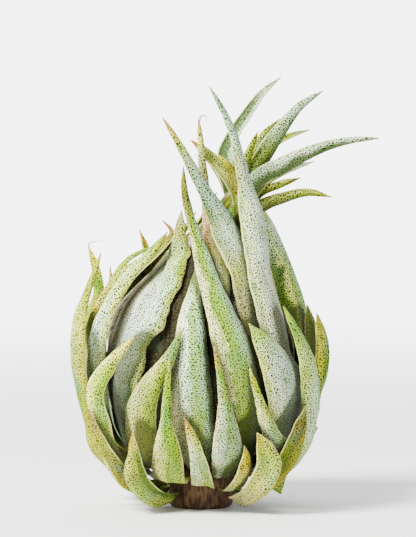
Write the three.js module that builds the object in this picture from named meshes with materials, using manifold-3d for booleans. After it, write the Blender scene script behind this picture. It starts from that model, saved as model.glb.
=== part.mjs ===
// Kautskyi air plant: a bulb of overlapping silver leaves on a short woody stem, with a fan of
// slim blades at its neck. Every outer leaf lies on the leaves inside it.
// Millimetres, +Z up. The origin is the middle of the stem's flat underside. The front faces -Y.

import * as THREE from "three";
import { mergeVertices } from "three/addons/utils/BufferGeometryUtils.js";
import Module from "manifold-3d";

const wasm = await Module();
wasm.setup();

// Driving dimensions of the stem and the heart
const STEM_RADIUS = 7.8;
const STEM_HEIGHT = 11.8;
const STEM_CHAMFER = 0.7;
const STEM_SIDES = 28;
const HEART_FLOOR = 12.2;
const NECK_LEAN = 9;
const LEAN_FROM = 46;
const LEAN_TO = 76;

// Outline of the heart, from its underside to the top of the neck: radius and height
const HEART_OUTLINE = [
  [8.2, HEART_FLOOR],
  [11.8, HEART_FLOOR],
  [14.8, 13],
  [17, 15.2],
  [19, 19.6],
  [21, 26.5],
  [22.2, 33],
  [21.9, 40],
  [20.2, 46.5],
  [16.8, 52],
  [13, 57.5],
  [9.2, 63],
  [6, 68.5],
  [3.9, 72.5],
  [1.4, 75.5],
];

// Pressed inner leaves that show as ridges on the heart
const HEART_FOLDS = 9;
const HEART_FOLD_DEPTH = 1.1;
const HEART_TWIST = 0.035;
const FOLDS_GROW = 8;
const NECK_CALM = 6;
const HEART_SIDES = 36;
const HEART_RINGS = 17;

// Leaves
const LEAF_THICKNESS = 0.66;
const LEAF_GAP = 0.33;
const STATION_STEP = 6.4;
const WAVE_LENGTH = 9.6;
const ROOT_STEP = 5;
const ROOT_HALF_WIDTH = 2;
const ROOT_SPREAD = 1.28;
const ROOT_CLEARANCE = 0.4;
const BLADE_GROWTH = 16;
const TIP_HALF_WIDTH = 0.3;
const TIGHTEST_SECTION = 0.56;
const STEEPEST_TILT = 0.42;
const SILHOUETTE_SINE = Math.sin(THREE.MathUtils.degToRad(74));
const MOST_WIDENING = 1.4;

// The low leaves hang outside a cone that opens upwards from a low ring to a wider one
const SKIRT_RADIUS = 16.5;
const SKIRT_HEIGHT = 6;
const SKIRT_SLOPE = 0.5;
const SKIRT_TOP_RADIUS = 23.5;

// Grid that keeps how thickly the heart is covered so far
const COVER_COLUMNS = 240;
const COVER_STEP = 0.75;

const silver = 0xb9bfae;
const green = 0x93a672;

// Front leaves from the heart outwards. Each row is one place on the middle line of the leaf as seen
// from the front: across, height and half width. A fourth number is the depth of a place where the
// leaf stands free of the bulb. Curl is the half angle of the rolled blade in degrees, and roll
// turns the blade's back towards the front (negative on the left of the plant). Foot is where the
// root starts along the heart's outline, wave how far a wavy margin swings, and step the length of
// a facet.
const FRONT_LEAVES = [
  { name: "inner_leaf_centre", curl: 25, foot: 18, tone: silver, rows: [
    [13, 27, 3.4], [11, 34, 3.6], [9.4, 40, 3.4], [7.8, 46, 3], [6.4, 52, 2.6], [5.2, 58, 2],
    [4.8, 63.5, 0.8]] },
  { name: "inner_leaf_neck", curl: 35, foot: 38, tone: green, rows: [
    [1, 48, 2.4], [2, 55, 2.4], [3.4, 61.5, 2.4], [5.6, 67, 1.8], [8, 72, 0.8]] },
  { name: "frayed_tip_leaf", curl: 40, foot: 40, tone: silver, rows: [
    [4.5, 52, 2.2], [4, 57, 2.4], [3.1, 62.5, 2.3], [1.8, 68.5, 2],
    [0.8, 74.5, 1.5, -7], [0, 81.5, 1.1, -6], [-0.3, 87.5, 0.8, -5.5], [-0.5, 91, 0.4, -5.5]] },
  { name: "speckled_leaf_left", curl: 20, foot: 14, tone: silver, rows: [
    [-20, 30, 3.8], [-18.5, 38, 4.4], [-16, 45, 4.4], [-13, 51, 3.8], [-10, 57.5, 2.8], [-6.9, 64.5, 1]] },
  { name: "arched_leaf_left", curl: 50, foot: 27, tone: green, rows: [
    [-25, 44, 2.6], [-22.6, 50.5, 2.6], [-20, 55.2, 2.3], [-17.2, 58.6, 1.8], [-14.4, 60.6, 1.3],
    [-12, 61.4, 0.5]] },
  { name: "dried_tip_leaf", curl: 45, foot: 22, roll: -35, byAzimuth: true, tone: green, rows: [
    [-101, 30, 2.8], [-99, 38, 2.8], [-97, 44, 2.6],
    [-24.6, 50.5, 2.2, 3], [-25.4, 56.5, 1.4, 3.2], [-26.6, 61.3, 0.4, 3.5]] },
  { name: "wavy_leaf_left", wave: 0.45, step: 3.2, curl: 20, foot: 11, tone: silver, rows: [
    [-17.5, 25, 3.9], [-17, 32, 3.6], [-14.4, 40.5, 2.9], [-10.4, 47.5, 2.6], [-6.8, 54.5, 2.5],
    [-4.9, 60.5, 2.3], [-4.9, 65.5, 1.5, -10], [-4.5, 70, 0.5, -9]] },
  { name: "shoulder_leaf_left", curl: 55, foot: 20, roll: -30, tone: green, rows: [
    [-26.2, 27.5, 1.6], [-26.2, 35.5, 1.8], [-25.6, 41.5, 1.8], [-23.6, 47.5, 1.5],
    [-21.4, 51.2, 1.3], [-18.4, 55, 1.2], [-15.2, 58, 1], [-11.8, 60.2, 0.4]] },
  { name: "tall_leaf_left", curl: 35, foot: 28, tone: silver, rows: [
    [14.5, 38, 2.8], [12.6, 45, 3.2], [11, 51, 3.4], [9.2, 57.5, 3.2], [7, 63, 3.1],
    [4.2, 69, 2.6], [1.2, 74.5, 1.8, -11], [-2.1, 80.5, 1.3, -11.5], [-5.4, 86.2, 0.8, -11.5],
    [-8.9, 91.6, 0.3, -11]] },
  { name: "folded_leaf_right", curl: 45, foot: 16, roll: 15, tone: silver, rows: [
    [24.6, 28, 3], [24, 36, 3.4], [22.4, 44, 3.8], [20.4, 51, 3.6], [18.2, 58, 3], [16, 64.5, 2.2],
    [14.4, 69.8, 1]] },
  { name: "tall_leaf_right", curl: 35, foot: 14, tone: silver, rows: [
    [20.2, 25, 3.8], [18.8, 34.5, 4.3], [16.6, 44, 4.4], [14.2, 53.5, 4.1], [12.8, 61.5, 3.7],
    [11.6, 70, 3], [10.6, 76.8, 2.4, -8], [8.9, 84, 1.6, -8.5], [7, 89.8, 1.1, -8.5],
    [4.2, 95.2, 0.7, -8], [1.9, 98.7, 0.3, -7.5]] },
  { name: "broad_leaf_centre", curl: 38, foot: 5, tone: silver, rows: [
    [-0.9, 13.5, 3.8], [-1.6, 20.5, 4.6], [-1.9, 26.5, 4.8], [-2.4, 37, 4.2], [-2.4, 46.5, 3],
    [-1.4, 53.5, 1.5], [-0.9, 57.5, 0.5]] },
  { name: "curved_leaf_left", curl: 40, foot: 17, roll: -20, tone: silver, rows: [
    [-24.2, 27.5, 2.5], [-24, 34, 2.3], [-23.4, 39.5, 2], [-21.9, 44, 1.6], [-19.2, 49.2, 1.4],
    [-14.8, 55.2, 1.2], [-10.6, 59.4, 1], [-6.8, 64, 0.3]] },
  { name: "tall_leaf_centre", curl: 45, foot: 8, tone: green, rows: [
    [10.3, 15.5, 3.6], [10, 22.8, 4.2], [9.2, 28.7, 4.6], [7.8, 37, 4.7], [5.7, 44, 4], [3.1, 52, 2.9],
    [0.5, 59, 2.1], [-1.9, 67, 1.4, -15.5], [-3.3, 72, 1, -15.5], [-4, 76.8, 0.7, -15.5],
    [-4, 80.4, 0.3, -15.5]] },
  { name: "slim_leaf_right", curl: 45, foot: 16, roll: 30, tone: green, rows: [
    [25, 29, 1.6], [25.8, 37, 1.6], [26, 43, 1.3], [24.7, 48.6, 0.4]] },
  { name: "belly_leaf_right", curl: 20, foot: 10, tone: silver, rows: [
    [19.3, 18, 3.6], [19.9, 25, 4.6], [18.6, 32, 4.4], [15.7, 38, 3], [13.4, 41.5, 1.7], [10.8, 45, 0.3]] },
];

// The outermost front leaves, which lie over the outer back leaves too
const LOW_LEAVES = [
  { name: "edge_leaf_left", curl: 55, foot: 5, roll: -30, tone: green, rows: [
    [-26.2, 22, 1.3], [-27.5, 30, 1.5], [-28, 38, 1.5], [-27.6, 45, 1.4],
    [-25.7, 53.3, 1.1, -12.5], [-23, 60.4, 0.3, -12]] },
  { name: "edge_leaf_right", curl: 50, foot: 11, roll: 30, tone: green, rows: [
    [22.6, 18, 1.4], [24.8, 24, 1.5], [27.2, 30, 1.6], [28.3, 35.7, 1.5], [28, 40.5, 1.2],
    [26.8, 46.5, 0.3]] },
  { name: "outer_leaf_right", curl: 40, foot: 6, roll: 15, tone: silver, rows: [
    [25, 19, 2], [25.4, 25, 2.2], [25.4, 31, 2.4], [24.2, 36.5, 1.9], [22.6, 41, 1.2],
    [20.7, 45, 0.7], [18.6, 48.6, 0.3]] },
  { name: "belly_leaf_left", curl: 25, foot: 3, tone: silver, rows: [
    [-13.4, 13.5, 3.4], [-14.3, 19.3, 3.7], [-13.6, 26, 3.3], [-11, 31.5, 2.5], [-8.3, 35.7, 1.7],
    [-6.1, 39.7, 1.1], [-4.2, 43.5, 0.3]] },
  { name: "outer_leaf_left", curl: 40, tone: green, rows: [
    [-18.9, 11.6, 1.9], [-21, 15.4, 2.2], [-23, 20, 2.4], [-24.3, 26.5, 2.6], [-22.6, 33.5, 2],
    [-19, 37.6, 1.3], [-15, 41.8, 0.3]] },
  { name: "low_leaf_right", curl: 40, foot: 6, tone: silver, rows: [
    [18, 11, 2], [17.2, 15.7, 2], [15.6, 20.4, 1.7], [14.2, 25, 1.3], [12.7, 30, 0.9], [11, 35, 0.3]] },
  { name: "low_leaf_centre", curl: 40, foot: 5, tone: silver, rows: [
    [5.9, 10, 2.8], [5.9, 15.7, 3.5], [5.9, 20.4, 2.7], [5.6, 25, 1.8], [4.9, 30, 1.1], [3.1, 40.2, 0.3]] },
  { name: "low_leaf_left", curl: 40, tone: green, rows: [
    [-7.3, 8.2, 3.4], [-7.3, 12.2, 4.6], [-7.8, 18, 2.4], [-7.8, 25, 1.2], [-7.3, 32.2, 0.7],
    [-7, 37, 0.3]] },
  { name: "base_edge_leaf_left", curl: 40, foot: 2, roll: -15, tone: green, rows: [
    [-16.6, 7.3, 1.8], [-19.6, 11.5, 1.6], [-22.4, 16.5, 1.3], [-24.4, 21, 1], [-25.6, 25, 0.3]] },
  { name: "base_leaf_left", curl: 35, tone: green, rows: [
    [-14.4, 7.8, 2.2], [-15.2, 12.2, 1.8], [-15.6, 15.7, 1.2], [-15.6, 20.4, 0.3]] },
  { name: "base_leaf_centre", curl: 35, foot: 3, tone: silver, rows: [
    [9.2, 7.3, 2.5], [10.3, 12.2, 1.6], [9.9, 17, 0.3]] },
  { name: "base_edge_leaf_right", step: 4.5, curl: 45, foot: 3, roll: 15, tone: green, rows: [
    [14.8, 6.8, 1.8], [18, 9.8, 2], [20.6, 14.6, 2], [22.6, 20.4, 1.6], [23.6, 25.3, 0.4]] },
  { name: "base_leaf_right", step: 4, curl: 35, foot: 4, tone: silver, rows: [
    [13.6, 8.4, 2.6], [15.6, 11.5, 2.5], [15, 15.7, 1.8], [12.9, 20.2, 0.4]] },
  { name: "base_leaf_front", curl: 35, tone: silver, rows: [
    [0.5, 7.3, 2.5], [-0.7, 13.4, 1.8], [-2.1, 19.3, 1.1], [-3.8, 23.7, 0.3]] },
];

// Blades of the fan. Back is the side that the blade's back faces at its root. Each row, from root to
// tip, is a place across, in depth and in height, and the half width there.
const FAN_BLADES = [
  { back: [0.4, 0.9, -0.1], rows: [
    [8.6, 1, 66, 1.9], [7.4, 2, 75.7, 2.2], [5.9, 3, 81.5, 2.2], [7.3, 4, 86.2, 1.9], [10.6, 5, 91.4, 1.7],
    [14.3, 5.5, 96.8, 1.1], [18.8, 6, 101, 0.3]] },
  { back: [0.4, -0.8, -0.3], rows: [
    [9, 0, 66, 2.2], [12, 0, 75.7, 2.4], [14.6, 0.5, 81.5, 2.8], [18.1, 1, 86.7, 2.4],
    [21.1, 1.5, 91.4, 1.7],
    [24.4, 2, 94.9, 1.1], [28.7, 2.5, 97.8, 0.3]] },
  { back: [0.4, -0.8, -0.2], rows: [
    [8.6, 2, 68, 1.9], [11.5, 3, 78, 1.8], [13.2, 4, 83.9, 1.7], [15.7, 5, 88.1, 1.1],
    [19, 5.5, 91.4, 0.3]] },
  { back: [0.3, 0.8, -0.3], rows: [
    [9, 3, 70, 1.8], [12, 5, 79, 1.6], [16, 7, 84, 1.2], [21.4, 9, 87.2, 0.8], [25.8, 10, 88.6, 0.3]] },
  { back: [0.3, -0.8, -0.5], rows: [
    [9, -1, 66, 2.4], [13, -1.8, 75.8, 2.6], [17.4, -2.2, 78.7, 2.8], [22.1, -2.6, 81.3, 2.4],
    [28, -3, 84.1, 1.7],
    [35, -3.4, 86, 1], [41.6, -3.8, 86.7, 0.3]] },
  { back: [0.3, -0.8, -0.4], rows: [
    [9, 2, 64, 1.7], [12.7, 2.5, 72, 1.4], [15.7, 3, 74.5, 1.2], [19.7, 3.5, 75.9, 1],
    [23.5, 4, 77.3, 0.3]] },
  { back: [0.2, -0.7, -0.7], rows: [
    [9, 0.5, 60, 1.9], [12.9, 0.8, 68.6, 2.2], [15.7, 1, 70.7, 2], [19.7, 1, 72.4, 1.7],
    [24.4, 1, 73.6, 1.2],
    [28, 1, 73.8, 0.8], [30.8, 1, 72.8, 0.3]] },
  { back: [0, -1, 0], rows: [
    [9.4, 0, 70, 1.4], [10.6, -1, 80.4, 1.2], [11.3, -1.4, 83.4, 1], [12.5, -1.6, 86.2, 0.6],
    [13.4, -1.6, 88.4, 0.3]] },
  { back: [-0.3, -1, 0], rows: [
    [9, -2, 66, 1.7], [8.7, -3.4, 75.4, 1.3], [7.3, -4, 78.7, 1.2], [5.9, -4.2, 81.5, 0.8],
    [3.8, -4.2, 83.2, 0.3]] },
  { back: [-0.6, 0.6, -0.3], rows: [
    [8.6, -1, 66, 2.4], [8.2, -2.4, 74, 2.4], [5.9, -3, 77.3, 2.4], [2.6, -3.4, 81.1, 1.9],
    [-0.2, -3.6, 84.1, 1.6],
    [-2.3, -3.6, 86.2, 0.7]] },
  { back: [0.4, 0.9, -0.2], rows: [
    [9, 1.5, 66, 2.2], [10.4, 3.4, 74, 2.3], [13.4, 8, 79.5, 2.2], [18.1, 18, 86, 1.2],
    [21, 24, 88.5, 0.3]] },
  { back: [0, 1, 0], rows: [
    [8.6, 1.5, 66, 2.2], [9.2, 3.6, 74, 2.3], [9, 8.5, 80.5, 1.9], [7.6, 17, 87.5, 0.3]] },
  { back: [0.6, 0.8, -0.2], rows: [
    [9, 1, 64, 2.2], [12, 3, 72.5, 2.4], [17, 7, 77, 2], [27, 16, 81, 0.3]] },
  { back: [-0.7, 0.7, -0.1], rows: [
    [8.2, 1, 64, 2.2], [6.6, 3, 72.5, 2.3], [4, 7.6, 78, 1.9], [0, 15, 83.5, 0.3]] },
];
const FAN_CURL = 55;
const FAN_STEP = 6;

// Whorls of back leaves. From and to are the azimuths of the first and last leaf in degrees, foot is
// where its root starts along the heart's outline, tip is the height of its tip, and width its half
// width at the belly. Sway turns the tip round the plant, in degrees, and lift raises it off the rest.
const BACK_SEED = 7;
const BACK_WHORLS = [
  { name: "back_inner_leaf", count: 8, from: 104, to: 254, foot: 12, tip: 71, width: 4.8, curl: 20,
    sway: 22, lift: 3.5 },
  { name: "back_middle_leaf", count: 7, from: 108, to: 246, foot: 6, tip: 55, width: 4.8, curl: 30,
    sway: 15, lift: 5 },
  { name: "back_outer_leaf", count: 8, from: 90, to: 276, foot: 3.5, tip: 38, width: 4.2, curl: 40,
    sway: -9, lift: 4.5 },
  { name: "back_base_leaf", count: 4, from: 112, to: 246, foot: 0.4, tip: 22, width: 3.4, curl: 40,
    sway: -10, lift: 2, step: 4.8 },
];
const BACK_SHAPE = [[0, 0.9], [0.2, 1], [0.4, 1], [0.6, 0.85], [0.8, 0.55], [0.92, 0.3], [1, 0.1]];
// Back leaves whose tips stand free and show beside the left shoulder, with rows as in the fan
const FREE_BACK_TIPS = {
  back_middle_leaf_6: [[-13.6, 9.6, 58, 1.3], [-14.5, 9.8, 62, 0.8], [-14.7, 9.8, 64.9, 0.3]],
  back_middle_leaf_7: [[-20.8, 4.4, 53.4, 0.9], [-21.5, 4.6, 56.4, 0.3]],
  back_inner_leaf_8: [[-7, 1.6, 64.6, 1.1], [-9.2, 2.4, 67.4, 0.3]],
};
const BACK_ON_BULB = 5;
const BACK_FOOT = 13;
const BACK_SCATTER = 4;
const TIP_LIFT_POWER = 4;

function catmullRom(a, b, c, d, t) {
  return b + 0.5 * t * (c - a + t * (2 * a - 5 * b + 4 * c - d + t * (3 * (b - c) + d - a)));
}

// One row between the given rows, at a place counted in rows
function rowAt(rows, place) {
  const last = rows.length - 1;
  const i = Math.min(Math.floor(place), last - 1);
  const t = place - i;
  const a = rows[Math.max(i - 1, 0)];
  const b = rows[i];
  const c = rows[i + 1];
  const d = rows[Math.min(i + 2, last)];
  return b.map((value, k) => catmullRom(a[k], value, c[k], d[k], t));
}

function smoothStep(from, to, value) {
  const t = THREE.MathUtils.clamp((value - from) / (to - from), 0, 1);
  return t * t * (3 - 2 * t);
}

// Rows spaced evenly along a curve, where reach gives the distance between two rows
function evenRows(rows, count, reach) {
  const fine = [];
  const FINE_STEPS = 12;
  for (let k = 0; k <= (rows.length - 1) * FINE_STEPS; k += 1) {
    fine.push(rowAt(rows, k / FINE_STEPS));
  }
  const travelled = [0];
  for (let k = 1; k < fine.length; k += 1) {
    travelled.push(travelled[k - 1] + reach(fine[k - 1], fine[k]));
  }
  const total = travelled[travelled.length - 1];
  const even = [];
  let k = 0;
  for (let i = 0; i <= count; i += 1) {
    const goal = (total * i) / count;
    while (k < fine.length - 2 && travelled[k + 1] < goal) k += 1;
    const t = THREE.MathUtils.clamp((goal - travelled[k]) / (travelled[k + 1] - travelled[k]), 0, 1);
    even.push(fine[k].map((value, j) => value + (fine[k + 1][j] - value) * t));
  }
  return even;
}

function curveLength(rows, reach) {
  let total = 0;
  for (let k = 1; k < rows.length; k += 1) total += reach(rows[k - 1], rows[k]);
  return total;
}

// The heart's outline as evenly spaced rows: radius, height, and the outward normal's two parts
const flatReach = (a, b) => Math.hypot(a[0] - b[0], a[1] - b[1]);
const MERIDIAN_STEP = 0.25;
const OUTLINE_STEPS = 200;
const meridianRows = (() => {
  const rough = evenRows(HEART_OUTLINE, OUTLINE_STEPS, flatReach);
  const count = Math.round(curveLength(rough, flatReach) / MERIDIAN_STEP);
  const rows = evenRows(HEART_OUTLINE, count, flatReach);
  return rows.map((row, i) => {
    const before = rows[Math.max(i - 2, 0)];
    const after = rows[Math.min(i + 2, rows.length - 1)];
    const along = new THREE.Vector2(after[0] - before[0], after[1] - before[1]).normalize();
    return [row[0], row[1], along.y, -along.x, 0];
  });
})();
const MERIDIAN_LENGTH = (meridianRows.length - 1) * MERIDIAN_STEP;

// A fifth value: how far a leaf facet of the usual length dips below its stations where the outline bends
const BEND_REACH = 10;
const BEND_MARGIN = 1.6;
meridianRows.forEach((row, i) => {
  const before = meridianRows[Math.max(i - BEND_REACH, 0)];
  const after = meridianRows[Math.min(i + BEND_REACH, meridianRows.length - 1)];
  const turned = Math.atan2(after[3], after[2]) - Math.atan2(before[3], before[2]);
  const bend = Math.max(turned, 0) / (2 * BEND_REACH * MERIDIAN_STEP);
  row[4] = (bend * BEND_MARGIN * STATION_STEP ** 2) / 8;
});

function meridian(along) {
  const place = THREE.MathUtils.clamp(along / MERIDIAN_STEP, 0, meridianRows.length - 1.001);
  const i = Math.floor(place);
  const t = place - i;
  return meridianRows[i].map((value, k) => value + (meridianRows[i + 1][k] - value) * t);
}

function leanAt(height) {
  return NECK_LEAN * smoothStep(LEAN_FROM, LEAN_TO, height);
}

// The point at an azimuth, a way along the heart's outline and a distance out from the heart
function bulbPoint(azimuth, along, out) {
  const [radius, height, outward, upward] = meridian(along);
  const r = radius + out * outward;
  const z = height + out * upward;
  return new THREE.Vector3(leanAt(z) + r * Math.sin(azimuth), -r * Math.cos(azimuth), z);
}

// The way along the outline at which a layer this far out from the heart has the given height
function alongAtHeight(height, out) {
  let along = MERIDIAN_LENGTH;
  while (along > 0) {
    const [, z, , upward] = meridian(along);
    if (z + out * upward <= height) break;
    along -= MERIDIAN_STEP;
  }
  return Math.max(along, 0);
}

function layerRadius(along, out) {
  const [radius, , outward] = meridian(along);
  return radius + out * outward;
}

// How thickly the heart is covered so far, by azimuth and way along the outline
const coverRings = Math.ceil(MERIDIAN_LENGTH / COVER_STEP) + 2;
const cover = new Float64Array(COVER_COLUMNS * coverRings);

function coverCell(azimuth, along) {
  const turn = azimuth / (2 * Math.PI);
  const column = Math.floor((turn - Math.floor(turn)) * COVER_COLUMNS) % COVER_COLUMNS;
  const ring = THREE.MathUtils.clamp(Math.floor(along / COVER_STEP), 0, coverRings - 1);
  return [column, ring];
}

function coverAt(azimuth, along) {
  const [column, ring] = coverCell(azimuth, along);
  return cover[ring * COVER_COLUMNS + column];
}

function raiseCover(azimuth, along, out) {
  const [column, ring] = coverCell(azimuth, along);
  for (let dr = -1; dr <= 1; dr += 1) {
    const r = ring + dr;
    if (r < 0 || r >= coverRings) continue;
    for (let dc = -1; dc <= 1; dc += 1) {
      const cell = r * COVER_COLUMNS + ((column + dc + COVER_COLUMNS) % COVER_COLUMNS);
      cover[cell] = Math.max(cover[cell], out);
    }
  }
}

// A leaf is a net of points: stations along it, and these places across each station
const ACROSS = [-1, -0.5, 0, 0.5, 1];
const PROBES = [-1, -0.75, -0.5, -0.25, 0, 0.25, 0.5, 0.75, 1];
const SUB_STATIONS = 4;
const SMOOTH_ROUNDS = 6;
const LAY_ROUNDS = 7;
const TYPICAL_OUT = 3.5;
const TILT_STEPS = 6;
const TILT_MARGIN = 0.02;
const LEAST_COSINE = 0.5;

// Half angle and radius of the arc that a cross-section follows
function sectionArc(halfWidth, curl) {
  const angle = Math.max(Math.min(curl, halfWidth / TIGHTEST_SECTION), 1e-3);
  return { angle, radius: halfWidth / angle };
}

// A place across a station: its azimuth, way along, drop below the middle, and half thickness outwards
function acrossPlace(station, share) {
  const { angle, radius } = sectionArc(station.halfWidth, station.curl);
  const across = radius * Math.sin(angle * share);
  const ring = layerRadius(station.along, station.out);
  return {
    across,
    azimuth: station.azimuth + (across * station.turn) / ring,
    along: station.along + across * station.rise,
    drop: radius * (1 - Math.cos(angle * share)),
    half: LEAF_THICKNESS / 2 / Math.max(Math.cos(angle * share), LEAST_COSINE),
  };
}

// Direction across the leaf on the bulb, as turn and rise for each millimetre
function aimStations(stations) {
  stations.forEach((station, i) => {
    const before = stations[Math.max(i - 1, 0)];
    const after = stations[Math.min(i + 1, stations.length - 1)];
    const turn = (after.azimuth - before.azimuth) * layerRadius(station.along, station.out);
    const rise = after.along - before.along;
    const length = Math.hypot(turn, rise) || 1;
    station.turn = rise / length;
    station.rise = -turn / length;
  });
}

function mixStations(a, b, t) {
  const mixed = {};
  for (const key of ["azimuth", "along", "halfWidth", "curl", "bend", "out", "turn", "rise", "tilt"]) {
    mixed[key] = a[key] + (b[key] - a[key]) * t;
  }
  mixed.outs = a.outs.map((value, j) => value + (b.outs[j] - value) * t);
  return mixed;
}

// Every station with a few more between each pair
function denseStations(stations) {
  const dense = [];
  for (let i = 0; i + 1 < stations.length; i += 1) {
    for (let k = 0; k < SUB_STATIONS; k += 1) {
      dense.push(mixStations(stations[i], stations[i + 1], k / SUB_STATIONS));
    }
  }
  dense.push(stations[stations.length - 1]);
  return dense;
}

// What each probe of a station needs to clear the leaves inside it
function probeNeeds(station) {
  return PROBES.map((share) => {
    const place = acrossPlace(station, share);
    const dip = meridian(place.along)[4] * station.bend;
    return { ...place, need: coverAt(place.azimuth, place.along) + LEAF_GAP + dip + place.half };
  });
}

function rigidOut(needs, tilt) {
  return Math.max(...needs.map((p) => p.need + p.drop - tilt * p.across));
}

// The tilt that lets a stiff cross-section lie closest
function bestTilt(needs) {
  let best = { out: Infinity, tilt: 0 };
  for (let t = -TILT_STEPS; t <= TILT_STEPS; t += 1) {
    const tilt = (t / TILT_STEPS) * STEEPEST_TILT;
    const out = rigidOut(needs, tilt);
    const closer = out < best.out - TILT_MARGIN;
    const flatter = out < best.out + TILT_MARGIN && Math.abs(tilt) < Math.abs(best.tilt);
    if (closer || flatter) best = { out, tilt };
  }
  return best.tilt;
}

// Raises values to a smooth run that never falls below its floor
function smoothAbove(floor, average) {
  let values = floor;
  for (let round = 0; round < SMOOTH_ROUNDS; round += 1) {
    const current = values;
    values = floor.map((low, i) => average(current, low, i));
  }
  return values;
}

// Lays the stations on what covers the heart so far. The sheath bends to it, the blade stays stiff.
function layStations(stations) {
  aimStations(stations);
  const last = stations.length - 1;
  const near = (i, list, margin) => {
    const from = Math.max(i * SUB_STATIONS - margin, 0);
    return list.slice(from, i * SUB_STATIONS + margin + 1);
  };
  const needs = denseStations(stations).map(probeNeeds);
  const tilts = needs.map(bestTilt);
  stations.forEach((station, i) => {
    const some = near(i, tilts, SUB_STATIONS);
    station.tilt = station.roll + some.reduce((sum, tilt) => sum + tilt, 0) / some.length;
  });
  const denseTilts = denseStations(stations).map((station) => station.tilt);
  const rigid = needs.map((row, k) => rigidOut(row, denseTilts[k]));
  const stiffFloor = stations.map((station, i) => (
    Math.max(station.reach, ...near(i, rigid, SUB_STATIONS - 1))));
  const stiff = smoothAbove(stiffFloor, (values, low, i) => {
    const before = values[Math.max(i - 1, 0)];
    const after = values[Math.min(i + 1, last)];
    return Math.max(low, (before + 2 * values[i] + after) / 4);
  });
  const softFloor = stations.map((station, i) => ACROSS.map((share, j) => {
    let need = station.reach;
    for (const row of near(i, needs, SUB_STATIONS - 1)) {
      for (let k = Math.max(2 * j - 1, 0); k <= Math.min(2 * j + 1, PROBES.length - 1); k += 1) {
        need = Math.max(need, row[k].need);
      }
    }
    return need;
  }));
  const soft = smoothAbove(softFloor, (rows, low, i) => low.map((floor, j) => {
    const row = rows[i];
    const along = (rows[Math.max(i - 1, 0)][j] + rows[Math.min(i + 1, last)][j]) / 2;
    const sideways = (row[Math.max(j - 1, 0)] + row[Math.min(j + 1, ACROSS.length - 1)]) / 2;
    return Math.max(floor, 0.5 * row[j] + 0.3 * along + 0.2 * sideways);
  }));
  stations.forEach((station, i) => {
    station.outs = ACROSS.map((share, j) => {
      const place = acrossPlace(station, share);
      const level = stiff[i] + station.tilt * place.across - place.drop;
      return soft[i][j] + (level - soft[i][j]) * station.stiffness;
    });
  });
  for (const station of stations) station.out = station.outs[(ACROSS.length - 1) / 2];
}

// Marks the outer face of a laid leaf on the cover
function coverWith(stations) {
  for (const station of denseStations(stations)) {
    for (const share of PROBES) {
      const place = acrossPlace(station, share);
      const at = ((share + 1) / 2) * (ACROSS.length - 1);
      const j = Math.min(Math.floor(at), ACROSS.length - 2);
      const out = station.outs[j] + (station.outs[j + 1] - station.outs[j]) * (at - j);
      raiseCover(place.azimuth, place.along, out + place.half);
    }
  }
}

// The way along the outline and the distance out of a point given by its radius and height
function outlinePlace(radius, height) {
  let best = Infinity;
  let place = [0, 0];
  meridianRows.forEach(([r, z, outward, upward], i) => {
    const distance = Math.hypot(radius - r, height - z);
    if (distance >= best) return;
    best = distance;
    place = [i * MERIDIAN_STEP, (radius - r) * outward + (height - z) * upward];
  });
  return place;
}

// Where a place seen from the front lies on a layer this far out: azimuth, way along, half width, and
// how far out the layer has to be for the place to reach the silhouette or the skirt. Shift and widen
// make up for how the leaf is turned there.
function frontPlace([x, z, halfWidth], out, { shift, widen }, hangs) {
  const across = x - leanAt(z) + shift;
  const along = alongAtHeight(z, out);
  const radius = layerRadius(along, out);
  const cone = SKIRT_RADIUS + SKIRT_SLOPE * (z - SKIRT_HEIGHT);
  const skirt = hangs ? Math.min(cone, SKIRT_TOP_RADIUS) : 0;
  if (skirt > radius && Math.abs(across) <= skirt * SILHOUETTE_SINE) {
    const [wayAlong, reach] = outlinePlace(skirt, z);
    return [Math.asin(across / skirt), wayAlong, halfWidth * widen, reach];
  }
  if (Math.abs(across) <= radius * SILHOUETTE_SINE) {
    return [Math.asin(across / radius), along, halfWidth * widen, 0];
  }
  const [wayAlong, reach] = outlinePlace(Math.abs(across) / SILHOUETTE_SINE, z);
  return [Math.asin(SILHOUETTE_SINE) * Math.sign(across), wayAlong, halfWidth, reach];
}

const bulbReach = (a, b) => Math.hypot((a[0] - b[0]) * layerRadius(a[1], TYPICAL_OUT), a[1] - b[1]);

// The same for a place given by its azimuth in degrees and its height
function azimuthPlace([degrees, z, halfWidth], out, reach) {
  return [THREE.MathUtils.degToRad(degrees), alongAtHeight(z, out), halfWidth, reach];
}

// Rows from the leaf's foot up to its first visible row
function rootRows(first, foot, spread) {
  const steps = Math.max(1, Math.round((first[1] - foot) / ROOT_STEP));
  const rows = [];
  for (let i = 0; i < steps; i += 1) {
    const share = i / steps;
    const halfWidth = ROOT_HALF_WIDTH + (first[2] - ROOT_HALF_WIDTH) * share ** 2;
    const along = foot + (first[1] - foot) * share;
    const azimuth = first[0] * (1 + (spread - 1) * (1 - along / Math.max(first[1], 1)));
    rows.push([azimuth, along, halfWidth, 0]);
  }
  return rows;
}

// How a laid station shows from the front: how far its middle line lies beside the middle of what
// shows, and how much wider than it shows it is
function frontLook(station) {
  const [points] = laidNet([station]);
  const first = points[0];
  const last = points[points.length - 1];
  const across = new THREE.Vector2(last.x - first.x, last.z - first.z).normalize();
  const ways = points.map((p) => p.x * across.x + p.z * across.y);
  const low = Math.min(...ways);
  const high = Math.max(...ways);
  const middle = ways[(points.length - 1) / 2];
  const widen = (2 * station.halfWidth) / Math.max(high - low, TIP_HALF_WIDTH);
  return {
    shift: (middle - (low + high) / 2) * across.x,
    widen: THREE.MathUtils.clamp(widen, 1, MOST_WIDENING),
  };
}

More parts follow.
